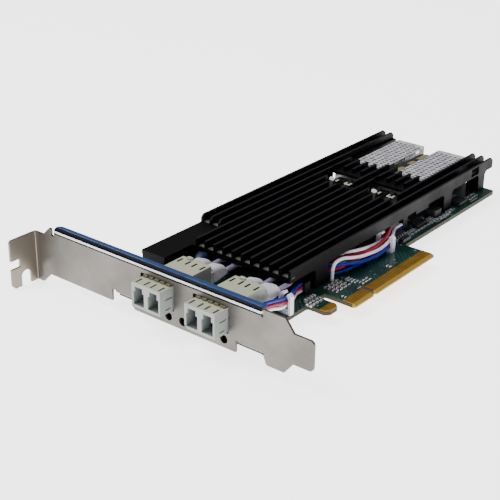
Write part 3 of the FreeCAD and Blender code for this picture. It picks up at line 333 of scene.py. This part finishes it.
def makeSolderMask():
    # epoxy mask printed over copper on woven glass-epoxy: glossy green in which raised tracks and pale
    # vias show, olive cut edges darkened further by painted shade, and bare brown laminate between the
    # contacts
    material, tree, shader, place = startFinish("greenSolderMask")
    low, high = nodeBox("circuit_board")
    rim = insideBox(tree, place, (None, None, low[2] + solderMask["rim"]),
                    (None, None, high[2] - solderMask["rim"]))
    turn = (0, 0, math.radians(solderMask["trackTurn"]))
    slanted = addNode(tree, "Mapping", {"Vector": place, "Rotation": turn})
    # a wave's period is pi / 10 over its scale
    bands = addNode(
        tree, "TexWave",
        {"Vector": slanted, "Scale": math.pi / 10 / (solderMask["trackPitch"] * mm),
         "Distortion": solderMask["trackWander"], "Detail": 1.0, "Detail Scale": 0.25},
        "Fac", wave_type="BANDS")
    clouds = grain(tree, place, solderMask["trackZone"], 1.0)
    shown = [addNode(tree, "MapRange", {"Value": pattern, "From Min": fade[0], "From Max": fade[1]})
             for pattern, fade in ((bands, solderMask["trackFade"]), (clouds, solderMask["zoneFade"]))]
    copper = joinMasks(tree, shown, "MULTIPLY")
    toVia = addNode(
        tree, "TexVoronoi", {"Vector": place, "Scale": 1 / (solderMask["viaPitch"] * mm)}, "Distance")
    start, end = solderMask["viaFade"]
    vias = addNode(tree, "MapRange", {
        "Value": toVia, "From Min": start, "From Max": end, "To Min": 1.0, "To Max": 0.0})
    weave = grain(tree, place, solderMask["weave"], stretch=solderMask["weaveStretch"])
    # the cut edge's tones carry painted shade
    edge = layTones(tree, solderMask["cutEdge"][0], [
        (weave, solderMask["cutEdge"][1]),
        (insideBox(tree, place, *solderMask["tongueBox"]), solderMask["tongueEdge"])])
    colour = layTones(tree, solderMask["green"][0], [
        (grain(tree, place, solderMask["patch"]), solderMask["green"][1]),
        (copper, solderMask["copper"]),
        (vias, solderMask["via"]),
        (insideBox(tree, place, *solderMask["between"]), solderMask["bareLaminate"]),
        (rim, edge),
        (insideBox(tree, place, *solderMask["bevelBox"]), solderMask["bevel"])])
    relief = addNode(tree, "Math", {0: copper, 1: vias}, operation="SUBTRACT")
    setSockets(tree, shader, {
        "Base Color": colour,
        "Roughness": addNode(tree, "MapRange", {
            "Value": rim, "To Min": solderMask["glossy"], "To Max": solderMask["cut"]}),
        "Normal": addNode(tree, "Bump", {"Height": relief, "Distance": solderMask["relief"] * mm}),
    })
    return material


steel = {
    "tones": ("#75716D", "#68645F"), "lines": "#5C5854", "tab": "#7C756B",
    "metallic": 0.85, "roughness": (0.34, 0.46),
    # the rolling lines are really about 0.05 mm apart, drawn wider so that they show
    "brush": 0.22, "brushStretch": (1.0, 0.06, 1.0), "brushShare": 0.35,
    "patch": 14.0, "depth": 0.005,  # mm
    # bands round the top fold: height that each starts at, from the top down, and its tone. The dark
    # line is painted shade, the white band a painted highlight and the dark band above it a painted
    # reflection; the top band is blue
    "bands": ((14.92, "#0E0D0C"), (15.48, "#FFFFFF"), (16.15, "#0C0E12"), (17.04, "#1B3D74")),
    "bandTop": 18.0, "foldSpan": (2.9, 92.8), "tabSpan": (101.0, 105.0),  # mm
    # the white band is a painted highlight: it is not metallic, so it stays white
    "bright": (15.48, 16.15),  # the white band, which shines like paint
}


def makePlatedSteel():
    # tin-nickel plated sheet, rolled lengthways: long fine grain and a satin sheen. A painted
    # reflection of the room lies in the top fold as a dark, a bright and a dark band, and the screw
    # tab is browner
    material, tree, shader, place = startFinish("nickelPlatedSheet")
    patches = grain(tree, place, steel["patch"])
    brushed = grain(tree, place, steel["brush"], fineDetail, steel["brushStretch"])
    lines = addNode(tree, "MapRange", {**noiseSpan, "Value": brushed, "To Max": steel["brushShare"]})
    start, end = steel["foldSpan"]
    # painted reflection and shade as bands in the top fold
    bands = [(insideBox(tree, place, (None, start, height), (None, end, steel["bandTop"])), tone)
             for height, tone in steel["bands"]]
    tab = insideBox(tree, place, (None, steel["tabSpan"][0], None), (None, steel["tabSpan"][1], None))
    # painted highlight where the white band lies
    bright = insideBox(
        tree, place, (None, start, steel["bright"][0]), (None, end, steel["bright"][1]))
    colour = layTones(tree, steel["tones"][0], [
        (addNode(tree, "MapRange", {**noiseSpan, "Value": patches}), steel["tones"][1]),
        (lines, steel["lines"]), *bands, (tab, steel["tab"])])
    metallic = addNode(tree, "MapRange", {"Value": bright, "To Min": steel["metallic"], "To Max": 0.0})
    setSurface(tree, shader, colour, patches, steel["roughness"], brushed, steel["depth"],
               {"Metallic": metallic})
    return material


anodised = {
    # the fin tops' lighter tone is painted light, the groove floors' pale tone a painted highlight
    "tones": ("#060507", "#09080B"), "paintedTopLight": "#1E1C21", "paintedFloorGlint": "#6A6864",
    "roughness": (0.44, 0.58), "gloss": 0.1,
    "grain": 0.25, "patch": 11.0, "depth": 0.008,  # mm
    "grainStretch": (0.08, 1.0, 1.0),  # drawn out along the fins
    "finHeight": 2.86, "topLightDepth": 0.03, "beyond": 1.0,  # mm
    # painted highlights on the groove floors behind the fins' fronts: start, reach and half height, mm
    "glintStart": 0.7, "glintReach": 1.9, "glintDepth": 0.12,  # mm
    # where the fins start from the bracket, and from side to side, mm
    "finFronts": ((33.8, 17.2, 58.6), (50.5, 59.5, 70.4)),
}


def makeAnodised():
    # extruded aluminium, black anodised: near black with a soft sheen, fin tops a little lighter as
    # painted light, and painted highlights on the groove floors just behind the front edge
    material, tree, shader, place = startFinish("blackAnodisedAluminium")
    top = nodeBox("heat_sink")[1][2]
    floor = top - anodised["finHeight"]
    patches = grain(tree, place, anodised["patch"])
    drawn = grain(tree, place, anodised["grain"], fineDetail, anodised["grainStretch"])
    # painted light on the fin tops
    paintedTopLight = insideBox(tree, place, (None, None, top - anodised["topLightDepth"]),
                       (None, None, top + anodised["beyond"]))
    # painted highlights on the groove floors
    paintedFloorGlint = []
    for front, near, far in anodised["finFronts"]:
        start = along(front) + anodised["glintStart"]
        paintedFloorGlint.append(insideBox(
            tree, place, (start, near, floor - anodised["glintDepth"]),
            (start + anodised["glintReach"], far, floor + anodised["glintDepth"])))
    colour = layTones(tree, anodised["tones"][0], [
        (patches, anodised["tones"][1]), (paintedTopLight, anodised["paintedTopLight"]),
        (joinMasks(tree, paintedFloorGlint, "MAXIMUM"), anodised["paintedFloorGlint"])])
    setSurface(tree, shader, colour, patches, anodised["roughness"], drawn, anodised["depth"],
               {"Specular IOR Level": anodised["gloss"]})
    return material


moulding = {
    # the tops are painted light and the sides painted shade of one beige; the ways' tone is painted
    # light near the front, the dark tone painted shade further in
    "paintedLitTops": ("#BDC0A8", "#B0B39B"), "sides": ("#9CA09B", "#8E938F"),
    "ways": "#7D8584", "paintedShadeDeep": "#26271F", "roughness": (0.42, 0.55),
    # spark erosion is really about 0.03 mm, drawn coarser so that it shows
    "erosion": 0.18, "depth": 0.006, "patch": 7.0,  # mm
    # walls round the plug ways: at the sides, below and above, at the back, and over the dark end
    "wall": 0.45, "floor": 0.6, "back": 1.2, "roof": 0.06,  # mm
    "lit": 4.6, "topBand": 0.06, "beyond": 1.0,  # mm
}


def makeAdapterPlastic():
    # PBT moulded in a spark-eroded tool: beige and matt, with painted light warming its tops and
    # painted shade greying its sides, and plug ways painted lit near the front and in painted shade
    # that darkens towards the sleeves
    material, tree, shader, place = startFinish("beigePbtMoulding")
    wall, floor, beyond = moulding["wall"], moulding["floor"], moulding["beyond"]
    patches = grain(tree, place, moulding["patch"])
    paintedLitTops, lit, paintedShadeDeep = [], [], []
    for name in ("lc_adapter_1", "lc_adapter_2"):
        low, high = nodeBox(name)
        litEnd = low[0] + moulding["lit"]
        # painted light on the tops
        paintedLitTops.append(insideBox(
            tree, place, (low[0] - beyond, low[1] - beyond, high[2] - moulding["topBand"]),
            high + beyond))
        # painted light in the front of the plug ways
        lit.append(insideBox(
            tree, place, (low[0] + wall, low[1] + wall, low[2] + floor),
            (litEnd, high[1] - wall, high[2] - floor)))
        # painted shade deeper in the plug ways
        paintedShadeDeep.append(insideBox(
            tree, place, (litEnd, low[1] + wall, low[2] + floor),
            (high[0] - moulding["back"], high[1] - wall, high[2] - moulding["roof"])))
    topTone = layTones(tree, moulding["paintedLitTops"][0], [(patches, moulding["paintedLitTops"][1])])
    colour = layTones(tree, moulding["sides"][0], [
        (patches, moulding["sides"][1]),
        (joinMasks(tree, paintedLitTops, "MAXIMUM"), topTone),
        (joinMasks(tree, lit, "MAXIMUM"), moulding["ways"]),
        (joinMasks(tree, paintedShadeDeep, "MAXIMUM"), moulding["paintedShadeDeep"])])
    erosion = grain(tree, place, moulding["erosion"], fineDetail)
    setSurface(tree, shader, colour, patches, moulding["roughness"], erosion, moulding["depth"])
    return material


recess = {
    # slot: name, tones, roughness, height of the pocket's rim (mm)
    "plug_plastic": ("beigePlugMoulding", ("#C3C5AE", "#B4B69F"), (0.38, 0.50), 8.1),
    "boot_rubber": ("whiteTpeBoot", ("#DCD9E0", "#C8C5D2"), (0.50, 0.62), 9.55),
    "shade": "#1B190F",
    "start": 45.0, "low": -3.0, "patch": 3.0, "grain": 0.2, "depth": 0.008,  # mm
}


def makeRecessedPlastic(name, tones, roughness, edge):
    # beige PBT plugs or soft white TPE boots, moulded: both smooth and half matt. What sits down in
    # the sink's pockets gets no light, so below the rim it is painted in shade
    material, tree, shader, place = startFinish(name)
    patches = grain(tree, place, recess["patch"])
    # painted shade below the pocket's rim
    sunk = insideBox(tree, place, (recess["start"], None, recess["low"]),
                     (cadBox[1].x / mm, None, edge))
    colour = layTones(tree, tones[0], [(patches, tones[1]), (sunk, recess["shade"])])
    fine = grain(tree, place, recess["grain"], fineDetail)
    setSurface(tree, shader, colour, patches, roughness, fine, recess["depth"])
    return material


tinPlate = {
    # the sides' tone is painted shade
    "bright": "#FFFFFF", "dull": "#B4B4C4", "sides": "#55555A",
    "metallic": 0.3, "roughness": (0.24, 0.46),
    "patch": 1.5, "dish": 1.1, "depth": 0.08, "topBand": 0.12, "low": -1.0,  # mm
}


def makeCageSteel():
    # tin-plated sheet, punched: bright, dished around each hole, with painted shade darkening its
    # sides
    material, tree, shader, place = startFinish("perforatedTinPlate")
    top = nodeBox("module_cage_1")[1][2]
    patches = grain(tree, place, tinPlate["patch"])
    # painted shade down the sides
    sides = insideBox(tree, place, (None, None, tinPlate["low"]),
                      (None, None, top - tinPlate["topBand"]))
    colour = layTones(tree, tinPlate["bright"], [
        (addNode(tree, "MapRange", {**noiseSpan, "Value": patches}), tinPlate["dull"]),
        (sides, tinPlate["sides"])])
    dishes = grain(tree, place, tinPlate["dish"], 1.0)
    setSurface(tree, shader, colour, patches, tinPlate["roughness"], dishes, tinPlate["depth"],
               {"Metallic": tinPlate["metallic"]})
    return material


materials = {slot: makeFinish(*values) for slot, values in {**finishes, **pieceFinishes}.items()}
materials["solder_mask"] = makeSolderMask()
materials["plated_steel"] = makePlatedSteel()
materials["black_anodised"] = makeAnodised()
materials["adapter_plastic"] = makeAdapterPlastic()
materials["cage_steel"] = makeCageSteel()
for slot in ("plug_plastic", "boot_rubber"):
    materials[slot] = makeRecessedPlastic(*recess[slot])
for nodeObject in nodes.values():
    for holder in nodeObject.material_slots:
        holder.material = materials[holder.name]
print("finishes ready:", len(materials))


def makePiece(name, slotName, grids, finish=None, smooth=False):
    # grids is (copies, rings, points round a ring, 3) in mm: quads join neighbouring points,
    # each ring closes on itself, and the first and last rings are capped
    copies, rings, points, _ = grids.shape
    index = np.arange(copies * rings * points).reshape(copies, rings, points)
    following = np.roll(index, -1, axis=2)
    quads = np.stack((index[:, :-1], following[:, :-1], following[:, 1:], index[:, 1:]), axis=-1)
    faces = quads.reshape(-1, 4).tolist() + index[:, 0, ::-1].tolist() + index[:, -1].tolist()
    mesh = bpy.data.meshes.new(name)
    mesh.from_pydata((grids.reshape(-1, 3) * mm).tolist(), [], faces)
    mesh.polygons.foreach_set("use_smooth", [smooth] * len(mesh.polygons))
    mesh.materials.append(materials[finish or slotName])
    piece = bpy.data.objects.new(name, mesh)
    bpy.context.scene.collection.objects.link(piece)
    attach(piece, "root")
    print(name, "ready:", copies)


def blocks(boxes, cut, crown):
    # boxes (n, 2, 3) to rings of eight: a rectangle with its corners cut by `cut`, straight
    # up from the low side, and drawn in by `crown` over the last `crown` of the height
    boxes = np.asarray(boxes, dtype=float)
    middle, half = boxes.mean(axis=1), (boxes[:, 1] - boxes[:, 0]) / 2
    insets = np.array([0.0, 0.0, crown])
    reachX = half[:, 0, None] - insets
    reachY = half[:, 1, None] - insets
    cutX, cutY = reachX - cut, reachY - cut
    ringX = np.stack((reachX, reachX, cutX, -cutX, -reachX, -reachX, -cutX, cutX), axis=-1)
    ringY = np.stack((-cutY, cutY, reachY, reachY, cutY, -cutY, -reachY, -reachY), axis=-1)
    heights = np.stack((boxes[:, 0, 2], boxes[:, 1, 2] - crown, boxes[:, 1, 2]), axis=1)
    grids = np.empty((len(boxes), 3, 8, 3))
    grids[..., 0] = middle[:, 0, None, None] + ringX
    grids[..., 1] = middle[:, 1, None, None] + ringY
    grids[..., 2] = heights[..., None]
    return grids


def placeStrips(path, places, heading, width, thick):
    # a flat strip carried along a path of (reach, height), with a rectangle square to the
    # path at each point; a copy stands at each place and reaches out at `heading` across
    # the board
    path = np.asarray(path, dtype=float)
    step = np.gradient(path, axis=0)
    normal = np.stack((-step[:, 1], step[:, 0]), axis=1) / np.linalg.norm(step, axis=1)[:, None]
    corners = np.array([[-0.5, -0.5], [0.5, -0.5], [0.5, 0.5], [-0.5, 0.5]]) * (width, thick)
    inPlane = path[:, None, :] + normal[:, None, :] * corners[None, :, 1, None]
    outward = np.array([math.cos(heading), math.sin(heading)])
    sideways = np.array([outward[1], -outward[0]])
    flat = inPlane[..., 0, None] * outward + corners[None, :, 0, None] * sideways
    shape = np.concatenate((flat, inPlane[..., 1, None]), axis=-1)
    return np.asarray(places, dtype=float)[:, None, None, :] + shape[None]


def rowOf(start, step, count, size):
    # boxes in a row or grid: start (x, y), step, count and size (x, y, z), mm
    columns, rows = np.meshgrid(np.arange(count[0]), np.arange(count[1]), indexing="ij")
    low = np.zeros((columns.size, 3))
    low[:, 0] = along(start[0]) + columns.ravel() * step[0]
    low[:, 1] = start[1] + rows.ravel() * step[1]
    return np.stack((low, low + size), axis=1)


smallParts = {
    "blockPoints": 24,  # mesh points of each loose block in the CAD nodes
    "capShare": 0.27, "capProud": 0.04,  # of the length, and mm all round
    "edges": (0.05, 0.06), "capEdges": (0.06, 0.08),  # corner cut and crown, mm
    # start (x from the bracket, y), step, count and size, mm: chips beside the contacts
    "dense": [((52.0, 10.35), (2.3, 1.7), (3, 3), (0.5, 1.0, 0.4)),
              ((60.3, 9.0), (1.4, 1.3), (2, 4), (0.9, 0.45, 0.4)),
              ((49.0, 5.4), (1.3, 1.2), (1, 2), (0.9, 0.45, 0.4))],
    # and rows of them by the sink's legs
    "rows": [((107.0, 16.4), (1.5, 1.0), (4, 2), (1.0, 0.5, 0.45)),
             ((121.8, 15.9), (1.6, 1.1), (3, 3), (1.0, 0.5, 0.45)),
             ((36.5, 10.2), (1.9, 1.5), (4, 2), (1.4, 0.8, 0.6)),
             ((141.0, 21.5), (1.7, 1.2), (7, 2), (1.0, 0.5, 0.45)),
             ((134.5, 15.9), (1.5, 1.0), (3, 1), (1.0, 0.5, 0.45))],
}


def partBoxes(name):
    # boxes of the loose blocks in a CAD node
    points = np.empty(len(nodes[name].data.vertices) * 3)
    nodes[name].data.vertices.foreach_get("co", points)
    points = points.reshape(-1, smallParts["blockPoints"], 3) / mm
    return np.stack((points.min(axis=1), points.max(axis=1)), axis=1)


def endCaps(boxes):
    # the two metal ends of each block, along its longer side, standing a little proud of it
    size = boxes[:, 1] - boxes[:, 0]
    longWays = (size[:, 1] > size[:, 0]).astype(int)
    rows = np.arange(len(boxes))
    length = size[rows, longWays] * smallParts["capShare"]
    near, far = boxes.copy(), boxes.copy()
    near[rows, 1, longWays] = boxes[rows, 0, longWays] + length
    far[rows, 0, longWays] = boxes[rows, 1, longWays] - length
    caps = np.concatenate((near, far))
    caps[:, 0] -= smallParts["capProud"]
    caps[:, 1] += smallParts["capProud"]
    caps[:, 0, 2] = 0.0
    return caps


def makeSmallParts():
    dense = np.concatenate([rowOf(*row) for row in smallParts["dense"]])
    rows = np.concatenate([rowOf(*row) for row in smallParts["rows"]])
    makePiece("denseChips", "capacitor_ceramic", blocks(dense, *smallParts["edges"]))
    makePiece("rowChips", "resistor_ceramic", blocks(rows, *smallParts["edges"]))
    caps = endCaps(np.concatenate((partBoxes("capacitors"), partBoxes("resistors"), dense, rows)))
    makePiece("solderedEnds", "screw_steel", blocks(caps, *smallParts["capEdges"]), "tinned")


makeSmallParts()

leads = {
    # gull wing: out of the body, down and along the pad, reach and height in mm
    "path": ((-0.3, 0.75), (0.15, 0.75), (0.45, 0.62), (0.62, 0.2), (0.85, 0.06), (1.35, 0.06)),
    "width": 0.42, "thick": 0.14, "inset": 0.7, "underside": 0.12,  # mm
    "edges": (0.12, 0.22),  # corner cut and crown, mm
    # body's ends along (from the bracket) and across, its top, leads a side
    "chips": [((99.4, 106.6), (17.9, 22.0), 1.5, 5), ((115.6, 123.4), (20.0, 24.0), 1.5, 5)],
}


def makeLeadedChips():
    bodies, nearRow, farRow = [], [], []
    for (startX, endX), (startY, endY), top, count in leads["chips"]:
        bodies.append([(along(startX), startY, leads["underside"]), (along(endX), endY, top)])
        xs = np.linspace(along(startX) + leads["inset"], along(endX) - leads["inset"], count)
        nearRow += [(x, startY, 0.0) for x in xs]
        farRow += [(x, endY, 0.0) for x in xs]
    makePiece("mouldedChips", "chip_plastic", blocks(bodies, *leads["edges"]))
    rows = [placeStrips(leads["path"], row, heading, leads["width"], leads["thick"])
            for row, heading in ((nearRow, -math.pi / 2), (farRow, math.pi / 2))]
    makePiece("chipLeads", "screw_steel", np.concatenate(rows), "tinned")


makeLeadedChips()

boardInk = {
    "line": 0.18, "level": 0.03,  # mm
    "edges": (0.02, 0.01),  # corner cut and crown, mm
    # ends along (from the bracket) and across: outlines of parts, and short strokes
    "outlines": [((98.4, 107.4), (15.9, 16.9)), ((124.0, 133.4), (14.0, 15.0))],
    "strokes": [((57.6, 59.8), (6.2, 6.4)), ((60.2, 62.4), (12.2, 12.5)),
                ((59.6, 61.0), (10.2, 10.4)), ((127.6, 135.8), (14.5, 14.8)),
                ((150.4, 156.0), (13.9, 14.1))],
}


def makeBoardInk():
    strokes, line = [], boardInk["line"]
    for (startX, endX), (startY, endY) in boardInk["outlines"]:
        strokes += [((startX, endX), (startY, startY + line)), ((startX, endX), (endY, endY + line)),
                    ((startX, startX + line), (startY, endY)), ((endX, endX + line), (startY, endY))]
    boxes = [[(along(startX), startY, 0.0), (along(endX), endY, boardInk["level"])]
             for (startX, endX), (startY, endY) in strokes + boardInk["strokes"]]
    makePiece("printedOutlines", "white_ceramic", blocks(boxes, *boardInk["edges"]), "ink")


makeBoardInk()

cages = {
    "tabs": 4, "firstTab": 3.6, "tabPitch": 8.3, "tabWidth": 3.0,  # count, mm
    "lips": 5, "lipInset": 1.6, "lipWidth": 1.7, "thick": 0.14,  # count, mm
    # reach and height from the cage's top edge, mm
    "tabPath": ((-0.7, 0.10), (-0.2, 0.12), (0.05, 0.04), (0.14, -0.25), (0.16, -1.1)),
    "lipPath": ((-1.1, 0.10), (-0.5, 0.16), (0.0, 0.10), (0.35, -0.12), (0.5, -0.5)),
}


def makeCageTrim():
    # bright tabs folded over each cage's near edge, and sprung lips along its front
    tabs, lips = [], []
    for name in ("module_cage_1", "module_cage_2"):
        low, high = nodeBox(name)
        starts = low[0] + cages["firstTab"] + cages["tabPitch"] * np.arange(cages["tabs"])
        tabs += [(x, low[1], high[2]) for x in starts]
        spots = np.linspace(low[1] + cages["lipInset"], high[1] - cages["lipInset"], cages["lips"])
        lips += [(low[0], y, high[2]) for y in spots]
    makePiece("cageTabs", "screw_steel", placeStrips(
        cages["tabPath"], tabs, -math.pi / 2, cages["tabWidth"], cages["thick"]), "tinned")
    makePiece("cageLips", "screw_steel", placeStrips(
        cages["lipPath"], lips, math.pi, cages["lipWidth"], cages["thick"]), "tinned")


makeCageTrim()

groundStrip = {
    "plates": ((138.1, 5.2), (147.6, 4.4), (154.9, 7.1)),  # start from the bracket, length, mm
    "gasket": (136.5, 26.6), "thick": 0.16,
    # reach and height from the near cage's top edge, mm
    "platePath": ((-0.4, 0.10), (0.3, 0.16), (1.1, 0.12), (2.0, -0.15), (2.7, -0.8)),
    "gasketPath": ((0.05, -0.55), (1.0, -0.45), (3.0, -0.55), (4.6, -0.9), (5.2, -1.6)),
}


def overGap(path, start, length):
    # a strip that starts on the near cage's top edge and reaches towards the far cage
    _, edgeY, edgeZ = nodeBox("module_cage_2")[1]
    place = (along(start + length / 2), edgeY, edgeZ)
    return placeStrips(path, [place], math.pi / 2, length, groundStrip["thick"])


def makeGroundStrip():
    # brass plates that spring over the gap between the cages, above a black foam gasket
    plates = [overGap(groundStrip["platePath"], *plate) for plate in groundStrip["plates"]]
    makePiece("groundPlates", "gold_plate", np.concatenate(plates), "brass")
    makePiece("cageGasket", "chip_plastic", overGap(groundStrip["gasketPath"], *groundStrip["gasket"]))


makeGroundStrip()

# painted shade: black lips put where shade lies under the sink's apron
apronShadeLip = {
    "front": 19.55, "back": 36.4, "side": 59.2,  # from the bracket, and across, mm
    "frontThick": 1.3, "sideThick": 1.0, "frontLow": 4.6, "sideLow": 3.4,  # mm
    "plate": 1.6, "rim": 0.05,  # the apron's thickness, and what stays clear at its far edge, mm
    "edges": (0.15, 0.05),  # corner cut and crown, mm
}


def makeApronShadeLip():
    # black lips turned down from the front and near edges of the sink's bare apron, behind the
    # bracket: dark pieces that stand in for the shade under the apron
    high = nodeBox("heat_sink")[1]
    start, near = along(apronShadeLip["front"]), apronShadeLip["side"]
    under = high[2] - anodised["finHeight"] - apronShadeLip["plate"]
    front = [(start, near, apronShadeLip["frontLow"]),
             (start + apronShadeLip["frontThick"], high[1] - apronShadeLip["rim"], under)]
    side = [(start, near, apronShadeLip["sideLow"]),
            (along(apronShadeLip["back"]), near + apronShadeLip["sideThick"], under)]
    makePiece("apronShadeLip", "black_anodised", blocks([front, side], *apronShadeLip["edges"]))


makeApronShadeLip()

lampHoods = {
    "places": (40.2, 34.2, 23.2, 17.2),  # across the board, mm
    "front": 1.12, "width": 3.0, "top": 3.3, "overLens": 1.2,  # mm
    "skirtWidth": 5.2, "skirtThick": 0.6, "skirtLow": -1.5, "skirtTop": 3.1,  # mm
    "edges": (0.25, 0.3),  # corner cut and crown, mm
}


def makeLampHoods():
    # black right-angle holders that shade each lamp up to its hole in the bracket, with a
    # wider skirt that closes the hole to the light from below
    lensFront = nodeBox("leds")[0][0]
    front, places = along(lampHoods["front"]), lampHoods["places"]
    half, halfSkirt = lampHoods["width"] / 2, lampHoods["skirtWidth"] / 2
    hoods = [[(front, y - half, 0.0), (lensFront + lampHoods["overLens"], y + half, lampHoods["top"])]
             for y in places]
    skirts = [[(front, y - halfSkirt, lampHoods["skirtLow"]),
               (front + lampHoods["skirtThick"], y + halfSkirt, lampHoods["skirtTop"])]
              for y in places]
    makePiece("lampHoods", "header_plastic", blocks(hoods + skirts, *lampHoods["edges"]))


makeLampHoods()

portGaskets = {
    "aside": (6.4, 8.5),  # from the adapter's middle, mm
    "behind": (0.9, 1.2), "rise": (4.4, 13.9),  # from the bracket's face, and up, mm
    "edges": (0.08, 0.05),  # corner cut and crown, mm
}


def makePortGaskets():
    # thin black foam behind the bracket, which closes the opening beside each adapter
    boxes = []
    for name in ("lc_adapter_1", "lc_adapter_2"):
        low, high = nodeBox(name)
        middle = (low[1] + high[1]) / 2
        boxes.append([(along(back), middle + aside, rise) for back, aside, rise in zip(
            portGaskets["behind"], portGaskets["aside"], portGaskets["rise"])])
    makePiece("portGaskets", "header_plastic", blocks(boxes, *portGaskets["edges"]))


makePortGaskets()

latchTabs = {
    "size": (1.3, 2.1, 0.85), "back": 2.1, "aside": 2.55, "sunk": 0.2,  # mm
    "edges": (0.2, 0.2),  # corner cut and crown, mm
}


def makeLatchTabs():
    # the raised release tab on each adapter's back edge
    length, width, rise = latchTabs["size"]
    boxes = []
    for name in ("lc_adapter_1", "lc_adapter_2"):
        low, high = nodeBox(name)
        start = high[0] - latchTabs["back"]
        middle = (low[1] + high[1]) / 2 + latchTabs["aside"]
        boxes.append([(start, middle - width / 2, high[2] - latchTabs["sunk"]),
                      (start + length, middle + width / 2, high[2] + rise)])
    makePiece("latchTabs", "adapter_plastic", blocks(boxes, *latchTabs["edges"]))


makeLatchTabs()

sleeve = {
    # centre line of the short navy sleeve over the far fibre tails, x from the bracket, mm
    "line": ((27.4, 51.8, 6.3), (28.6, 52.4, 6.9), (30.4, 53.0, 7.1), (32.4, 53.6, 6.4),
             (34.6, 54.2, 5.6), (36.6, 54.6, 5.0)),
    "radius": (0.9, 1.8, 2.1, 1.9, 1.6, 1.2), "sides": 16,
}


def carryCircle(line, radius, sides):
    # rings of `sides` points square to the line, whose radius changes from point to point
    ahead = np.gradient(line, axis=0)
    ahead /= np.linalg.norm(ahead, axis=1)[:, None]
    across = np.cross(ahead, (0.0, 0.0, 1.0))
    across /= np.linalg.norm(across, axis=1)[:, None]
    over = np.cross(across, ahead)
    angle = np.arange(sides) * 2 * math.pi / sides
    ring = (across[:, None] * np.cos(angle)[None, :, None]
            + over[:, None] * np.sin(angle)[None, :, None])
    return (line[:, None] + ring * np.asarray(radius)[:, None, None])[None]


def makeSleeve():
    line = np.array(sleeve["line"]) - (keyFromBracket, 0, 0)
    rings = carryCircle(line, sleeve["radius"], sleeve["sides"])
    makePiece("navySleeve", "wire_blue", rings, "navy", smooth=True)


makeSleeve()
print("pieces ready")
